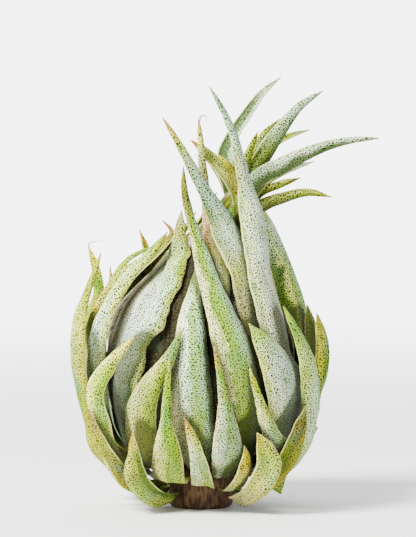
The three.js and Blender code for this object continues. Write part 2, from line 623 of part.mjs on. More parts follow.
// Stations of a leaf on the bulb, laid on the leaves inside it
function layLeaf(plan) {
  const onBulb = plan.rows.filter((row) => row.length === 3);
  const start = { out: TYPICAL_OUT, shift: 0, widen: 1 };
  let fits = onBulb.map(() => start);
  let stations = [];
  for (let round = 0; round < LAY_ROUNDS; round += 1) {
    const places = onBulb.map((row, i) => (plan.byAzimuth
      ? azimuthPlace(row, fits[i].out, (plan.lift ?? 0) * (i / (onBulb.length - 1)) ** TIP_LIFT_POWER)
      : frontPlace(row, fits[i].out, fits[i], plan.hangs)));
    const foot = Math.max(Math.min(plan.foot ?? ROOT_CLEARANCE, places[0][1] - 1), 0);
    const rows = [...rootRows(places[0], foot, plan.byAzimuth ? 1 : ROOT_SPREAD), ...places];
    const step = plan.step ?? STATION_STEP;
    const count = Math.max(4, Math.round(curveLength(rows, bulbReach) / step));
    stations = evenRows(rows, count, bulbReach).map(([azimuth, along, halfWidth, reach]) => {
      const grown = smoothStep(0, BLADE_GROWTH, along - places[0][1]);
      const wave = (plan.wave ?? 0) * Math.sin((2 * Math.PI * along) / WAVE_LENGTH);
      return {
        azimuth,
        along,
        halfWidth: Math.max(halfWidth + wave, TIP_HALF_WIDTH),
        reach: Math.max(reach, 0),
        roll: Math.tan(THREE.MathUtils.degToRad(plan.roll ?? 0)) * grown,
        curl: THREE.MathUtils.degToRad(plan.curl) * grown,
        bend: (step / STATION_STEP) ** 2,
        stiffness: smoothStep(-ROOT_STEP, BLADE_GROWTH, along - places[0][1]),
        out: TYPICAL_OUT,
        tilt: 0,
        outs: ACROSS.map(() => TYPICAL_OUT),
      };
    });
    layStations(stations);
    fits = places.map((place, i) => {
      const nearest = stations.reduce((best, station) => {
        const closer = Math.abs(station.along - place[1]) < Math.abs(best.along - place[1]);
        return closer ? station : best;
      });
      const { shift, widen } = frontLook(nearest);
      return {
        out: (fits[i].out + nearest.out) / 2,
        shift: (fits[i].shift + shift) / 2,
        widen: (fits[i].widen + widen) / 2,
      };
    });
  }
  return stations;
}

// The net of points of a laid leaf
function laidNet(stations) {
  return stations.map((station) => ACROSS.map((share, j) => {
    const place = acrossPlace(station, share);
    return bulbPoint(place.azimuth, place.along, station.outs[j]);
  }));
}

// The net of a blade that stands free, carried on from a normal without twisting
function freeNet(rows, start, curl) {
  const reach = (a, b) => Math.hypot(a[0] - b[0], a[1] - b[1], a[2] - b[2]);
  const count = Math.max(2, Math.round(curveLength(rows, reach) / FAN_STEP));
  const even = evenRows(rows, count, reach);
  const points = even.map((row) => new THREE.Vector3(row[0], row[1], row[2]));
  let normal = start.clone();
  return even.map((row, i) => {
    const tangent = points[Math.min(i + 1, count)].clone().sub(points[Math.max(i - 1, 0)]).normalize();
    normal = normal.clone().addScaledVector(tangent, -normal.dot(tangent)).normalize();
    const across = tangent.clone().cross(normal);
    const { angle, radius } = sectionArc(Math.max(row[3], TIP_HALF_WIDTH), curl);
    return ACROSS.map((share) => points[i].clone()
      .addScaledVector(across, radius * Math.sin(angle * share))
      .addScaledVector(normal, radius * Math.cos(angle * share) - radius));
  });
}

// Outward normal of a net at one of its points
function netNormal(net, i, j) {
  const after = net[Math.min(i + 1, net.length - 1)][j];
  const before = net[Math.max(i - 1, 0)][j];
  const along = after.clone().sub(before);
  const across = net[i][Math.min(j + 1, net[i].length - 1)].clone().sub(net[i][Math.max(j - 1, 0)]);
  return across.cross(along).normalize();
}

// Closed solid of a leaf, with the same diagonals on both faces
function leafGeometry(net, stride) {
  const chosen = ACROSS.map((share, j) => j).filter((j) => j % stride === 0);
  const positions = [];
  for (const side of [1, -1]) {
    for (let i = 0; i < net.length; i += 1) {
      for (const j of chosen) {
        const p = net[i][j].clone().addScaledVector(netNormal(net, i, j), (side * LEAF_THICKNESS) / 2);
        positions.push(p.x, p.y, p.z);
      }
    }
  }
  const columns = chosen.length;
  const cells = columns - 1;
  const last = net.length - 1;
  const outer = (i, j) => i * columns + j;
  const inner = (i, j) => (net.length + i) * columns + j;
  const index = [];
  const quad = (a, b, c, d) => index.push(a, b, c, a, c, d);
  for (let i = 0; i < last; i += 1) {
    for (let j = 0; j < cells; j += 1) {
      quad(outer(i, j), outer(i, j + 1), outer(i + 1, j + 1), outer(i + 1, j));
      quad(inner(i, j), inner(i + 1, j), inner(i + 1, j + 1), inner(i, j + 1));
    }
    quad(inner(i, cells), inner(i + 1, cells), outer(i + 1, cells), outer(i, cells));
    quad(outer(i, 0), outer(i + 1, 0), inner(i + 1, 0), inner(i, 0));
  }
  for (let j = 0; j < cells; j += 1) {
    quad(inner(0, j), inner(0, j + 1), outer(0, j + 1), outer(0, j));
    quad(outer(last, j), outer(last, j + 1), inner(last, j + 1), inner(last, j));
  }
  const geometry = new THREE.BufferGeometry();
  geometry.setAttribute("position", new THREE.Float32BufferAttribute(positions, 3));
  geometry.setIndex(index);
  return geometry;
}

function toSolid(geometry) {
  geometry.deleteAttribute("normal");
  geometry.deleteAttribute("uv");
  const merged = mergeVertices(geometry, 1e-4);
  return new wasm.Manifold(new wasm.Mesh({
    numProp: 3,
    vertProperties: new Float32Array(merged.attributes.position.array),
    triVerts: new Uint32Array(merged.index.array),
  }));
}

function toGeometry(solid) {
  const mesh = solid.getMesh();
  const geometry = new THREE.BufferGeometry();
  geometry.setAttribute("position", new THREE.Float32BufferAttribute(mesh.vertProperties, 3));
  geometry.setIndex(Array.from(mesh.triVerts));
  return geometry;
}

function leafMaterial(color) {
  return new THREE.MeshStandardMaterial({ color, roughness: 0.85, metalness: 0 });
}

function addMesh(group, name, geometry, material) {
  geometry.computeVertexNormals();
  const mesh = new THREE.Mesh(geometry, material);
  mesh.name = name;
  group.add(mesh);
}

// One whole leaf: the part on the bulb, then the free part if it has one
function buildLeaf(group, plan) {
  const stations = layLeaf(plan);
  coverWith(stations);
  const net = laidNet(stations);
  const free = plan.rows.filter((row) => row.length === 4);
  if (free.length > 0) {
    const middle = (ACROSS.length - 1) / 2;
    const end = net[net.length - 1][middle];
    const rows = [
      [end.x, end.y, end.z, stations[stations.length - 1].halfWidth],
      ...free.map(([x, z, w, y]) => [x, y, z, w]),
    ];
    const start = netNormal(net, net.length - 1, middle);
    net.push(...freeNet(rows, start, THREE.MathUtils.degToRad(plan.curl)).slice(1));
  }
  addMesh(group, plan.name, leafGeometry(net, plan.stride ?? 1), leafMaterial(plan.tone));
}

// Seeded random numbers between 0 and 1
function randomFrom(seed) {
  let state = seed;
  return () => {
    state = (state + 0x6d2b79f5) | 0;
    let t = Math.imul(state ^ (state >>> 15), 1 | state);
    t = (t + Math.imul(t ^ (t >>> 7), 61 | t)) ^ t;
    return ((t ^ (t >>> 14)) >>> 0) / 4294967296;
  };
}

// Back leaves in whorls: azimuth, height and half width of each row follow one rule
function backLeafPlans() {
  const random = randomFrom(BACK_SEED);
  const between = (low, high) => low + (high - low) * random();
  return BACK_WHORLS.map((whorl) => {
    const plans = [];
    for (let i = 0; i < whorl.count; i += 1) {
      const azimuth = whorl.from + ((whorl.to - whorl.from) * i) / (whorl.count - 1);
      const turned = azimuth + between(-BACK_SCATTER, BACK_SCATTER);
      const tip = whorl.tip + between(-BACK_SCATTER, BACK_SCATTER);
      const sway = whorl.sway * between(0.6, 1.2);
      const width = whorl.width * between(0.85, 1.1);
      const rows = BACK_SHAPE.map(([share, wide]) => [
        turned + sway * share ** 2,
        BACK_FOOT + (tip - BACK_FOOT) * share,
        width * wide,
      ]);
      const name = `${whorl.name}_${i + 1}`;
      const free = (FREE_BACK_TIPS[name] ?? []).map(([x, y, z, halfWidth]) => [x, z, halfWidth, y]);
      if (free.length > 0) rows.splice(BACK_ON_BULB, rows.length, ...free);
      plans.push({ ...whorl, name, tone: silver, rows, byAzimuth: true });
    }
    return plans;
  });
}

function makeStem() {
  const outline = [
    [0, 0],
    [STEM_RADIUS - STEM_CHAMFER, 0],
    [STEM_RADIUS, STEM_CHAMFER],
    [STEM_RADIUS, STEM_HEIGHT - STEM_CHAMFER],
    [STEM_RADIUS - STEM_CHAMFER, STEM_HEIGHT],
    [0, STEM_HEIGHT],
  ].map(([x, y]) => new THREE.Vector2(x, y));
  return toGeometry(toSolid(new THREE.LatheGeometry(outline, STEM_SIDES).rotateX(Math.PI / 2)));
}

// The heart's body: its outline turned round the leaning axis, with pressed leaves as ridges
function makeHeartBody() {
  const positions = [];
  const index = [];
  const bottom = meridian(0);
  const top = meridian(MERIDIAN_LENGTH);
  for (let ring = 0; ring <= HEART_RINGS; ring += 1) {
    const along = (MERIDIAN_LENGTH * ring) / HEART_RINGS;
    const fromTop = MERIDIAN_LENGTH - along;
    const calm = smoothStep(0, FOLDS_GROW, along) * smoothStep(NECK_CALM, FOLDS_GROW + NECK_CALM, fromTop);
    for (let k = 0; k < HEART_SIDES; k += 1) {
      const turn = k / HEART_SIDES;
      const fold = (((turn * HEART_FOLDS + along * HEART_TWIST) % 1) + 1) % 1;
      const p = bulbPoint(turn * 2 * Math.PI, along, -HEART_FOLD_DEPTH * fold * calm);
      positions.push(p.x, p.y, p.z);
    }
  }
  const at = (ring, k) => ring * HEART_SIDES + (k % HEART_SIDES);
  for (let ring = 0; ring < HEART_RINGS; ring += 1) {
    for (let k = 0; k < HEART_SIDES; k += 1) {
      index.push(at(ring, k), at(ring, k + 1), at(ring + 1, k + 1));
      index.push(at(ring, k), at(ring + 1, k + 1), at(ring + 1, k));
    }
  }
  const low = positions.length / 3;
  positions.push(0, 0, bottom[1]);
  const high = low + 1;
  positions.push(leanAt(top[1]), 0, top[1]);
  for (let k = 0; k < HEART_SIDES; k += 1) {
    index.push(low, at(0, k + 1), at(0, k));
    index.push(high, at(HEART_RINGS, k), at(HEART_RINGS, k + 1));
  }
  const geometry = new THREE.BufferGeometry();
  geometry.setAttribute("position", new THREE.Float32BufferAttribute(positions, 3));
  geometry.setIndex(index);
  return toSolid(geometry);
}

function makeHeart() {
  let solid = makeHeartBody();
  for (const { back, rows } of FAN_BLADES) {
    const net = freeNet(rows, new THREE.Vector3(...back), THREE.MathUtils.degToRad(FAN_CURL));
    solid = solid.add(toSolid(leafGeometry(net, 2)));
  }
  return toGeometry(solid);
}

const plant = new THREE.Group();
addMesh(plant, "stem", makeStem(), new THREE.MeshStandardMaterial({ color: 0x6b5136, roughness: 0.9 }));
addMesh(plant, "heart", makeHeart(), leafMaterial(silver));
const [innerBack, middleBack, outerBack, baseBack] = backLeafPlans();
const hanging = LOW_LEAVES.map((plan) => ({ ...plan, hangs: true }));
const layers = [innerBack, middleBack, FRONT_LEAVES, outerBack, baseBack, hanging];
for (const plan of layers.flat()) buildLeaf(plant, plan);

export default plant;
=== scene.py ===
"""Looks of the kautskyi air plant: every leaf is laid again by the rule of the solids, with finer steps,
thin soft margins and scales, and gets a silvery speckled skin."""
import math
import random

import bpy
import numpy as np
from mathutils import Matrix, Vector


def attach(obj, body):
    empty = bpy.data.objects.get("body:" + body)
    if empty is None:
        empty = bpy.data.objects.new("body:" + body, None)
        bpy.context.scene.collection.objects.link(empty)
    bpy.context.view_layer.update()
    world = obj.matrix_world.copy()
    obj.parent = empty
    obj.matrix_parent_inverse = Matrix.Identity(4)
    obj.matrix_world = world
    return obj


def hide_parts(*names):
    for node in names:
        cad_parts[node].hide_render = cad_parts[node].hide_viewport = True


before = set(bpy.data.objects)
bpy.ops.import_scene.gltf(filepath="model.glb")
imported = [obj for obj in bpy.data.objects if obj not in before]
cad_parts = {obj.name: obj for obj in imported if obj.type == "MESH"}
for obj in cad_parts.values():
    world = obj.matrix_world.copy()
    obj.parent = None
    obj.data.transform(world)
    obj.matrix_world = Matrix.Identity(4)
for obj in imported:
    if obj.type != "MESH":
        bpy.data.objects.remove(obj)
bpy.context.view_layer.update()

MM = 0.001

# Driving dimensions of the solids, in millimetres
STEM_RADIUS = 7.8
STEM_HEIGHT = 11.8
HEART_FLOOR = 12.2
NECK_LEAN = 9
LEAN_FROM = 46
LEAN_TO = 76

# The heart's outline from its floor to the neck: radius and height
HEART_OUTLINE = [
    [8.2, HEART_FLOOR], [11.8, HEART_FLOOR], [14.8, 13], [17, 15.2], [19, 19.6], [21, 26.5], [22.2, 33],
    [21.9, 40], [20.2, 46.5], [16.8, 52], [13, 57.5], [9.2, 63], [6, 68.5], [3.9, 72.5], [1.4, 75.5],
]

# Leaves seen from the front, in laying order. Heading: name, tone and settings in degrees and millimetres.
# Rows: x, z and half width on the bulb (or azimuth, height and half width), and then x, z, half width
# and y of a part that stands free.
FRONT_LEAVES = """
inner_leaf_centre silver curl=25 foot=18
    13 27 3.4, 11 34 3.6, 9.4 40 3.4, 7.8 46 3, 6.4 52 2.6, 5.2 58 2, 4.8 63.5 0.8
inner_leaf_neck green curl=35 foot=38
    1 48 2.4, 2 55 2.4, 3.4 61.5 2.4, 5.6 67 1.8, 8 72 0.8
frayed_tip_leaf silver curl=40 foot=40
    4.5 52 2.2, 4 57 2.4, 3.1 62.5 2.3, 1.8 68.5 2, 0.8 74.5 1.5 -7, 0 81.5 1.1 -6, -0.3 87.5 0.8 -5.5,
    -0.5 91 0.4 -5.5
speckled_leaf_left silver curl=20 foot=14
    -20 30 3.8, -18.5 38 4.4, -16 45 4.4, -13 51 3.8, -10 57.5 2.8, -6.9 64.5 1
arched_leaf_left green curl=50 foot=27
    -25 44 2.6, -22.6 50.5 2.6, -20 55.2 2.3, -17.2 58.6 1.8, -14.4 60.6 1.3, -12 61.4 0.5
dried_tip_leaf green curl=45 foot=22 roll=-35 byAzimuth=1
    -101 30 2.8, -99 38 2.8, -97 44 2.6, -24.6 50.5 2.2 3, -25.4 56.5 1.4 3.2, -26.6 61.3 0.4 3.5
wavy_leaf_left silver curl=20 foot=11 wave=0.45 step=3.2
    -17.5 25 3.9, -17 32 3.6, -14.4 40.5 2.9, -10.4 47.5 2.6, -6.8 54.5 2.5, -4.9 60.5 2.3,
    -4.9 65.5 1.5 -10, -4.5 70 0.5 -9
shoulder_leaf_left green curl=55 foot=20 roll=-30
    -26.2 27.5 1.6, -26.2 35.5 1.8, -25.6 41.5 1.8, -23.6 47.5 1.5, -21.4 51.2 1.3, -18.4 55 1.2,
    -15.2 58 1, -11.8 60.2 0.4
tall_leaf_left silver curl=35 foot=28
    14.5 38 2.8, 12.6 45 3.2, 11 51 3.4, 9.2 57.5 3.2, 7 63 3.1, 4.2 69 2.6, 1.2 74.5 1.8 -11,
    -2.1 80.5 1.3 -11.5, -5.4 86.2 0.8 -11.5, -8.9 91.6 0.3 -11
folded_leaf_right silver curl=45 foot=16 roll=15
    24.6 28 3, 24 36 3.4, 22.4 44 3.8, 20.4 51 3.6, 18.2 58 3, 16 64.5 2.2, 14.4 69.8 1
tall_leaf_right silver curl=35 foot=14
    20.2 25 3.8, 18.8 34.5 4.3, 16.6 44 4.4, 14.2 53.5 4.1, 12.8 61.5 3.7, 11.6 70 3, 10.6 76.8 2.4 -8,
    8.9 84 1.6 -8.5, 7 89.8 1.1 -8.5, 4.2 95.2 0.7 -8, 1.9 98.7 0.3 -7.5
broad_leaf_centre silver curl=38 foot=5
    -0.9 13.5 3.8, -1.6 20.5 4.6, -1.9 26.5 4.8, -2.4 37 4.2, -2.4 46.5 3, -1.4 53.5 1.5, -0.9 57.5 0.5
curved_leaf_left silver curl=40 foot=17 roll=-20
    -24.2 27.5 2.5, -24 34 2.3, -23.4 39.5 2, -21.9 44 1.6, -19.2 49.2 1.4, -14.8 55.2 1.2, -10.6 59.4 1,
    -6.8 64 0.3
tall_leaf_centre green curl=45 foot=8
    10.3 15.5 3.6, 10 22.8 4.2, 9.2 28.7 4.6, 7.8 37 4.7, 5.7 44 4, 3.1 52 2.9, 0.5 59 2.1,
    -1.9 67 1.4 -15.5, -3.3 72 1 -15.5, -4 76.8 0.7 -15.5, -4 80.4 0.3 -15.5
slim_leaf_right green curl=45 foot=16 roll=30
    25 29 1.6, 25.8 37 1.6, 26 43 1.3, 24.7 48.6 0.4
belly_leaf_right silver curl=20 foot=10
    19.3 18 3.6, 19.9 25 4.6, 18.6 32 4.4, 15.7 38 3, 13.4 41.5 1.7, 10.8 45 0.3
"""
LOW_LEAVES = """
edge_leaf_left green curl=55 foot=5 roll=-30
    -26.2 22 1.3, -27.5 30 1.5, -28 38 1.5, -27.6 45 1.4, -25.7 53.3 1.1 -12.5, -23 60.4 0.3 -12
edge_leaf_right green curl=50 foot=11 roll=30
    22.6 18 1.4, 24.8 24 1.5, 27.2 30 1.6, 28.3 35.7 1.5, 28 40.5 1.2, 26.8 46.5 0.3
outer_leaf_right silver curl=40 foot=6 roll=15
    25 19 2, 25.4 25 2.2, 25.4 31 2.4, 24.2 36.5 1.9, 22.6 41 1.2, 20.7 45 0.7, 18.6 48.6 0.3
belly_leaf_left silver curl=25 foot=3
    -13.4 13.5 3.4, -14.3 19.3 3.7, -13.6 26 3.3, -11 31.5 2.5, -8.3 35.7 1.7, -6.1 39.7 1.1, -4.2 43.5 0.3
outer_leaf_left green curl=40
    -18.9 11.6 1.9, -21 15.4 2.2, -23 20 2.4, -24.3 26.5 2.6, -22.6 33.5 2, -19 37.6 1.3, -15 41.8 0.3
low_leaf_right silver curl=40 foot=6
    18 11 2, 17.2 15.7 2, 15.6 20.4 1.7, 14.2 25 1.3, 12.7 30 0.9, 11 35 0.3
low_leaf_centre silver curl=40 foot=5
    5.9 10 2.8, 5.9 15.7 3.5, 5.9 20.4 2.7, 5.6 25 1.8, 4.9 30 1.1, 3.1 40.2 0.3
low_leaf_left green curl=40
    -7.3 8.2 3.4, -7.3 12.2 4.6, -7.8 18 2.4, -7.8 25 1.2, -7.3 32.2 0.7, -7 37 0.3
base_edge_leaf_left green curl=40 foot=2 roll=-15
    -16.6 7.3 1.8, -19.6 11.5 1.6, -22.4 16.5 1.3, -24.4 21 1, -25.6 25 0.3
base_leaf_left green curl=35
    -14.4 7.8 2.2, -15.2 12.2 1.8, -15.6 15.7 1.2, -15.6 20.4 0.3
base_leaf_centre silver curl=35 foot=3
    9.2 7.3 2.5, 10.3 12.2 1.6, 9.9 17 0.3
base_edge_leaf_right green curl=45 foot=3 roll=15 step=4.5
    14.8 6.8 1.8, 18 9.8 2, 20.6 14.6 2, 22.6 20.4 1.6, 23.6 25.3 0.4
base_leaf_right silver curl=35 foot=4 step=4
    13.6 8.4 2.6, 15.6 11.5 2.5, 15 15.7 1.8, 12.9 20.2 0.4
base_leaf_front silver curl=35
    0.5 7.3 2.5, -0.7 13.4 1.8, -2.1 19.3 1.1, -3.8 23.7 0.3
"""

# Blades of the fan. Heading: skin and the way that the blade's back faces. Rows: x, y, z and half width.
FAN_BLADES = """
fan_shaded 0.4 0.9 -0.1
    8.6 1 66 1.9, 7.4 2 75.7 2.2, 5.9 3 81.5 2.2, 7.3 4 86.2 1.9, 10.6 5 91.4 1.7, 14.3 5.5 96.8 1.1,
    18.8 6 101 0.3
fan 0.4 -0.8 -0.3
    9 0 66 2.2, 12 0 75.7 2.4, 14.6 0.5 81.5 2.8, 18.1 1 86.7 2.4, 21.1 1.5 91.4 1.7, 24.4 2 94.9 1.1,
    28.7 2.5 97.8 0.3
fan_green 0.4 -0.8 -0.2
    8.6 2 68 1.9, 11.5 3 78 1.8, 13.2 4 83.9 1.7, 15.7 5 88.1 1.1, 19 5.5 91.4 0.3
fan_green 0.3 0.8 -0.3
    9 3 70 1.8, 12 5 79 1.6, 16 7 84 1.2, 21.4 9 87.2 0.8, 25.8 10 88.6 0.3
fan_shaded 0.3 -0.8 -0.5
    9 -1 66 2.4, 13 -1.8 75.8 2.6, 17.4 -2.2 78.7 2.8, 22.1 -2.6 81.3 2.4, 28 -3 84.1 1.7, 35 -3.4 86 1,
    41.6 -3.8 86.7 0.3
fan_green 0.3 -0.8 -0.4
    9 2 64 1.7, 12.7 2.5 72 1.4, 15.7 3 74.5 1.2, 19.7 3.5 75.9 1, 23.5 4 77.3 0.3
fan_green 0.2 -0.7 -0.7
    9 0.5 60 1.9, 12.9 0.8 68.6 2.2, 15.7 1 70.7 2, 19.7 1 72.4 1.7, 24.4 1 73.6 1.2, 28 1 73.8 0.8,
    30.8 1 72.8 0.3
fan_green 0 -1 0
    9.4 0 70 1.4, 10.6 -1 80.4 1.2, 11.3 -1.4 83.4 1, 12.5 -1.6 86.2 0.6, 13.4 -1.6 88.4 0.3
fan_gold -0.3 -1 0
    9 -2 66 1.7, 8.7 -3.4 75.4 1.3, 7.3 -4 78.7 1.2, 5.9 -4.2 81.5 0.8, 3.8 -4.2 83.2 0.3
fan_brown -0.6 0.6 -0.3
    8.6 -1 66 2.4, 8.2 -2.4 74 2.4, 5.9 -3 77.3 2.4, 2.6 -3.4 81.1 1.9, -0.2 -3.6 84.1 1.6,
    -2.3 -3.6 86.2 0.7
fan 0.4 0.9 -0.2
    9 1.5 66 2.2, 10.4 3.4 74 2.3, 13.4 8 79.5 2.2, 18.1 18 86 1.2, 21 24 88.5 0.3
fan_green 0 1 0
    8.6 1.5 66 2.2, 9.2 3.6 74 2.3, 9 8.5 80.5 1.9, 7.6 17 87.5 0.3
fan 0.6 0.8 -0.2
    9 1 64 2.2, 12 3 72.5 2.4, 17 7 77 2, 27 16 81 0.3
fan_green -0.7 0.7 -0.1
    8.2 1 64 2.2, 6.6 3 72.5 2.3, 4 7.6 78 1.9, 0 15 83.5 0.3
"""

# Whorls of back leaves: count, first and last azimuth, height of foot and tip, and the rest as above
BACK_WHORLS = """
back_inner_leaf silver count=8 from=104 to=254 foot=12 tip=71 width=4.8 curl=20 sway=22 lift=3.5
back_middle_leaf silver count=7 from=108 to=246 foot=6 tip=55 width=4.8 curl=30 sway=15 lift=5
back_outer_leaf silver count=8 from=90 to=276 foot=3.5 tip=38 width=4.2 curl=40 sway=-9 lift=4.5
back_base_leaf silver count=4 from=112 to=246 foot=0.4 tip=22 width=3.4 curl=40 sway=-10 lift=2 step=4.8
"""

# Half width of a back leaf along its length, as shares
BACK_SHAPE = [[0, 0.9], [0.2, 1], [0.4, 1], [0.6, 0.85], [0.8, 0.55], [0.92, 0.3], [1, 0.1]]

# Tips of back leaves that stand free: x, y, z and half width
FREE_BACK_TIPS = {
    "back_middle_leaf_6": [[-13.6, 9.6, 58, 1.3], [-14.5, 9.8, 62, 0.8], [-14.7, 9.8, 64.9, 0.3]],
    "back_middle_leaf_7": [[-20.8, 4.4, 53.4, 0.9], [-21.5, 4.6, 56.4, 0.3]],
    "back_inner_leaf_8": [[-7, 1.6, 64.6, 1.1], [-9.2, 2.4, 67.4, 0.3]],
}

# Folds of the heart's surface, which fade towards its foot and its neck
HEART_FOLDS = 9
HEART_FOLD_DEPTH = 1.1
HEART_TWIST = 0.035
FOLDS_GROW = 8
NECK_CALM = 6

# Leaves: thickness, gap, stations, feet, tips and cupped sections
LEAF_THICKNESS = 0.66
LEAF_GAP = 0.33
STATION_STEP = 6.4
LEAST_STATIONS = 4
WAVE_LENGTH = 9.6
ROOT_STEP = 5
ROOT_HALF_WIDTH = 2
ROOT_SPREAD = 1.28
ROOT_CLEARANCE = 0.4
BLADE_GROWTH = 16
TIP_HALF_WIDTH = 0.3
TIGHTEST_SECTION = 0.56
STEEPEST_TILT = 0.42
SILHOUETTE_SINE = math.sin(math.radians(74))
MOST_WIDENING = 1.4

# The skirt that the low leaves hang on, and the grid of what covers the heart
SKIRT_RADIUS = 16.5
SKIRT_HEIGHT = 6
SKIRT_SLOPE = 0.5
SKIRT_TOP_RADIUS = 23.5
COVER_COLUMNS = 240
COVER_STEP = 0.75

# Free blades and back leaves
FAN_CURL = 55
FAN_STEP = 6
BACK_SEED = 7
BACK_ON_BULB = 5
BACK_FOOT = 13
BACK_SCATTER = 4
SWAY_SPREAD = (0.6, 1.2)
WIDTH_SPREAD = (0.85, 1.1)
TIP_LIFT_POWER = 4

# Steps of the outline and of the laying rule
MERIDIAN_STEP = 0.25
BEND_REACH = 10
OUTLINE_STEPS = 200
BEND_MARGIN = 1.6
ACROSS = np.array([-1, -0.5, 0, 0.5, 1])
PROBES = np.array([-1, -0.75, -0.5, -0.25, 0, 0.25, 0.5, 0.75, 1])
MIDDLE = 2
SUB_STATIONS = 4
SMOOTH_ROUNDS = 6
KEPT_SHARE, ALONG_SHARE, SIDEWAYS_SHARE = 0.5, 0.3, 0.2
LAY_ROUNDS = 7
TYPICAL_OUT = 3.5
TILT_STEPS = 6
TILT_MARGIN = 0.02
LEAST_COSINE = 0.5
FINE_STEPS = 12


def blocks(text):
    """Headings of a text table, each as its words, with the indented lines under it."""
    found = []
    for line in text.strip().splitlines():
        if line.startswith(" "):
            found[-1][1].append(line.strip())
        else:
            found.append((line.split(), []))
    return found


def options(words):
    return {key: float(value) for key, value in (word.split("=") for word in words)}


def number_rows(lines):
    return [[float(number) for number in row.split()] for row in " ".join(lines).split(",") if row]


def leaf_plans(text):
    return [
        {"name": words[0], "tone": words[1], **options(words[2:]), "rows": number_rows(lines)}
        for words, lines in blocks(text)
    ]


def whole(value):
    return int(math.floor(value + 0.5))


def smooth_step(start, end, value):
    t = np.clip((np.asarray(value, float) - start) / (end - start), 0, 1)
    return t * t * (3 - 2 * t)


def row_at(rows, place):
    """One row between the given rows, at a place counted in rows."""
    last = len(rows) - 1
    i = min(int(math.floor(place)), last - 1)
    t = place - i
    a, b, c, d = rows[max(i - 1, 0)], rows[i], rows[i + 1], rows[min(i + 2, last)]
    return b + 0.5 * t * (c - a + t * (2 * a - 5 * b + 4 * c - d + t * (3 * (b - c) + d - a)))


def even_rows(rows, count, reach):
    """Rows spaced evenly along a curve, where reach gives the distance between two rows."""
    rows = np.array(rows, float)
    fine = np.array([row_at(rows, k / FINE_STEPS) for k in range((len(rows) - 1) * FINE_STEPS + 1)])
    travelled = np.concatenate([[0], np.cumsum([reach(a, b) for a, b in zip(fine, fine[1:])])])
    goals = travelled[-1] * np.arange(count + 1) / count
    return np.stack([np.interp(goals, travelled, fine[:, k]) for k in range(rows.shape[1])], axis=1)


def curve_length(rows, reach):
    return sum(reach(a, b) for a, b in zip(rows, rows[1:]))


def flat_reach(a, b):
    return math.hypot(a[0] - b[0], a[1] - b[1])


def meridian_table():
    """The heart's outline as evenly spaced rows: radius, height, outward normal's two parts, dip."""
    length = curve_length(even_rows(HEART_OUTLINE, OUTLINE_STEPS, flat_reach), flat_reach)
    rows = even_rows(HEART_OUTLINE, whole(length / MERIDIAN_STEP), flat_reach)
    last = len(rows) - 1
    at = np.arange(last + 1)
    way = rows[np.minimum(at + 2, last)] - rows[np.maximum(at - 2, 0)]
    way /= np.linalg.norm(way, axis=1)[:, None]
    outward, upward = way[:, 1], -way[:, 0]
    bend = np.arctan2(upward, outward)
    turned = bend[np.minimum(at + BEND_REACH, last)] - bend[np.maximum(at - BEND_REACH, 0)]
    sag = BEND_MARGIN * STATION_STEP**2 / 8
    dip = np.maximum(turned, 0) / (2 * BEND_REACH * MERIDIAN_STEP) * sag
    return np.stack([rows[:, 0], rows[:, 1], outward, upward, dip], axis=1)


MERIDIAN = meridian_table()
MERIDIAN_LENGTH = (len(MERIDIAN) - 1) * MERIDIAN_STEP


def meridian(along):
    place = np.clip(np.asarray(along, float) / MERIDIAN_STEP, 0, len(MERIDIAN) - 1.001)
    i = np.floor(place).astype(int)
    return MERIDIAN[i] + (MERIDIAN[i + 1] - MERIDIAN[i]) * (place - i)[..., None]


def lean_at(height):
    return NECK_LEAN * smooth_step(LEAN_FROM, LEAN_TO, height)


def bulb_point(azimuth, along, out):
    """The point at an azimuth, a way along the heart's outline and a distance out from the heart."""
    m = meridian(along)
    r = m[..., 0] + out * m[..., 2]
    z = m[..., 1] + out * m[..., 3]
    return np.stack([lean_at(z) + r * np.sin(azimuth), -r * np.cos(azimuth), z], axis=-1)


def along_at_height(height, out):
    below = MERIDIAN[::-1, 1] + out * MERIDIAN[::-1, 3] <= height
    if not below.any():
        return 0.0
    return max(MERIDIAN_LENGTH - int(np.argmax(below)) * MERIDIAN_STEP, 0.0)


def layer_radius(along, out):
    m = meridian(along)
    return m[..., 0] + out * m[..., 2]


COVER_RINGS = math.ceil(MERIDIAN_LENGTH / COVER_STEP) + 2
cover = np.zeros((COVER_RINGS, COVER_COLUMNS))


def cover_cell(azimuth, along):
    turn = azimuth / (2 * math.pi)
    column = np.floor((turn - np.floor(turn)) * COVER_COLUMNS).astype(int) % COVER_COLUMNS
    ring = np.clip(np.floor(along / COVER_STEP).astype(int), 0, COVER_RINGS - 1)
    return ring, column


def raise_cover(azimuth, along, out):
    ring, column = cover_cell(azimuth, along)
    for dr in (-1, 0, 1):
        inside = (ring + dr >= 0) & (ring + dr < COVER_RINGS)
        for dc in (-1, 0, 1):
            cells = (ring[inside] + dr, (column[inside] + dc) % COVER_COLUMNS)
            np.maximum.at(cover, cells, out[inside])


def section_arc(half_width, curl):
    angle = np.maximum(np.minimum(curl, half_width / TIGHTEST_SECTION), 1e-3)
    return angle, half_width / angle


def across_place(s, shares):
    """Places across every station: across, azimuth, along, drop below the middle, half thickness outwards."""
    angle, radius = section_arc(s["half_width"], s["curl"])
    bend = angle[:, None] * shares
    across = radius[:, None] * np.sin(bend)
    ring = layer_radius(s["along"], s["out"])[:, None]
    return {
        "across": across,
        "azimuth": s["azimuth"][:, None] + across * s["turn"][:, None] / ring,
        "along": s["along"][:, None] + across * s["rise"][:, None],
        "drop": radius[:, None] * (1 - np.cos(bend)),
        "half": LEAF_THICKNESS / 2 / np.maximum(np.cos(bend), LEAST_COSINE),
    }


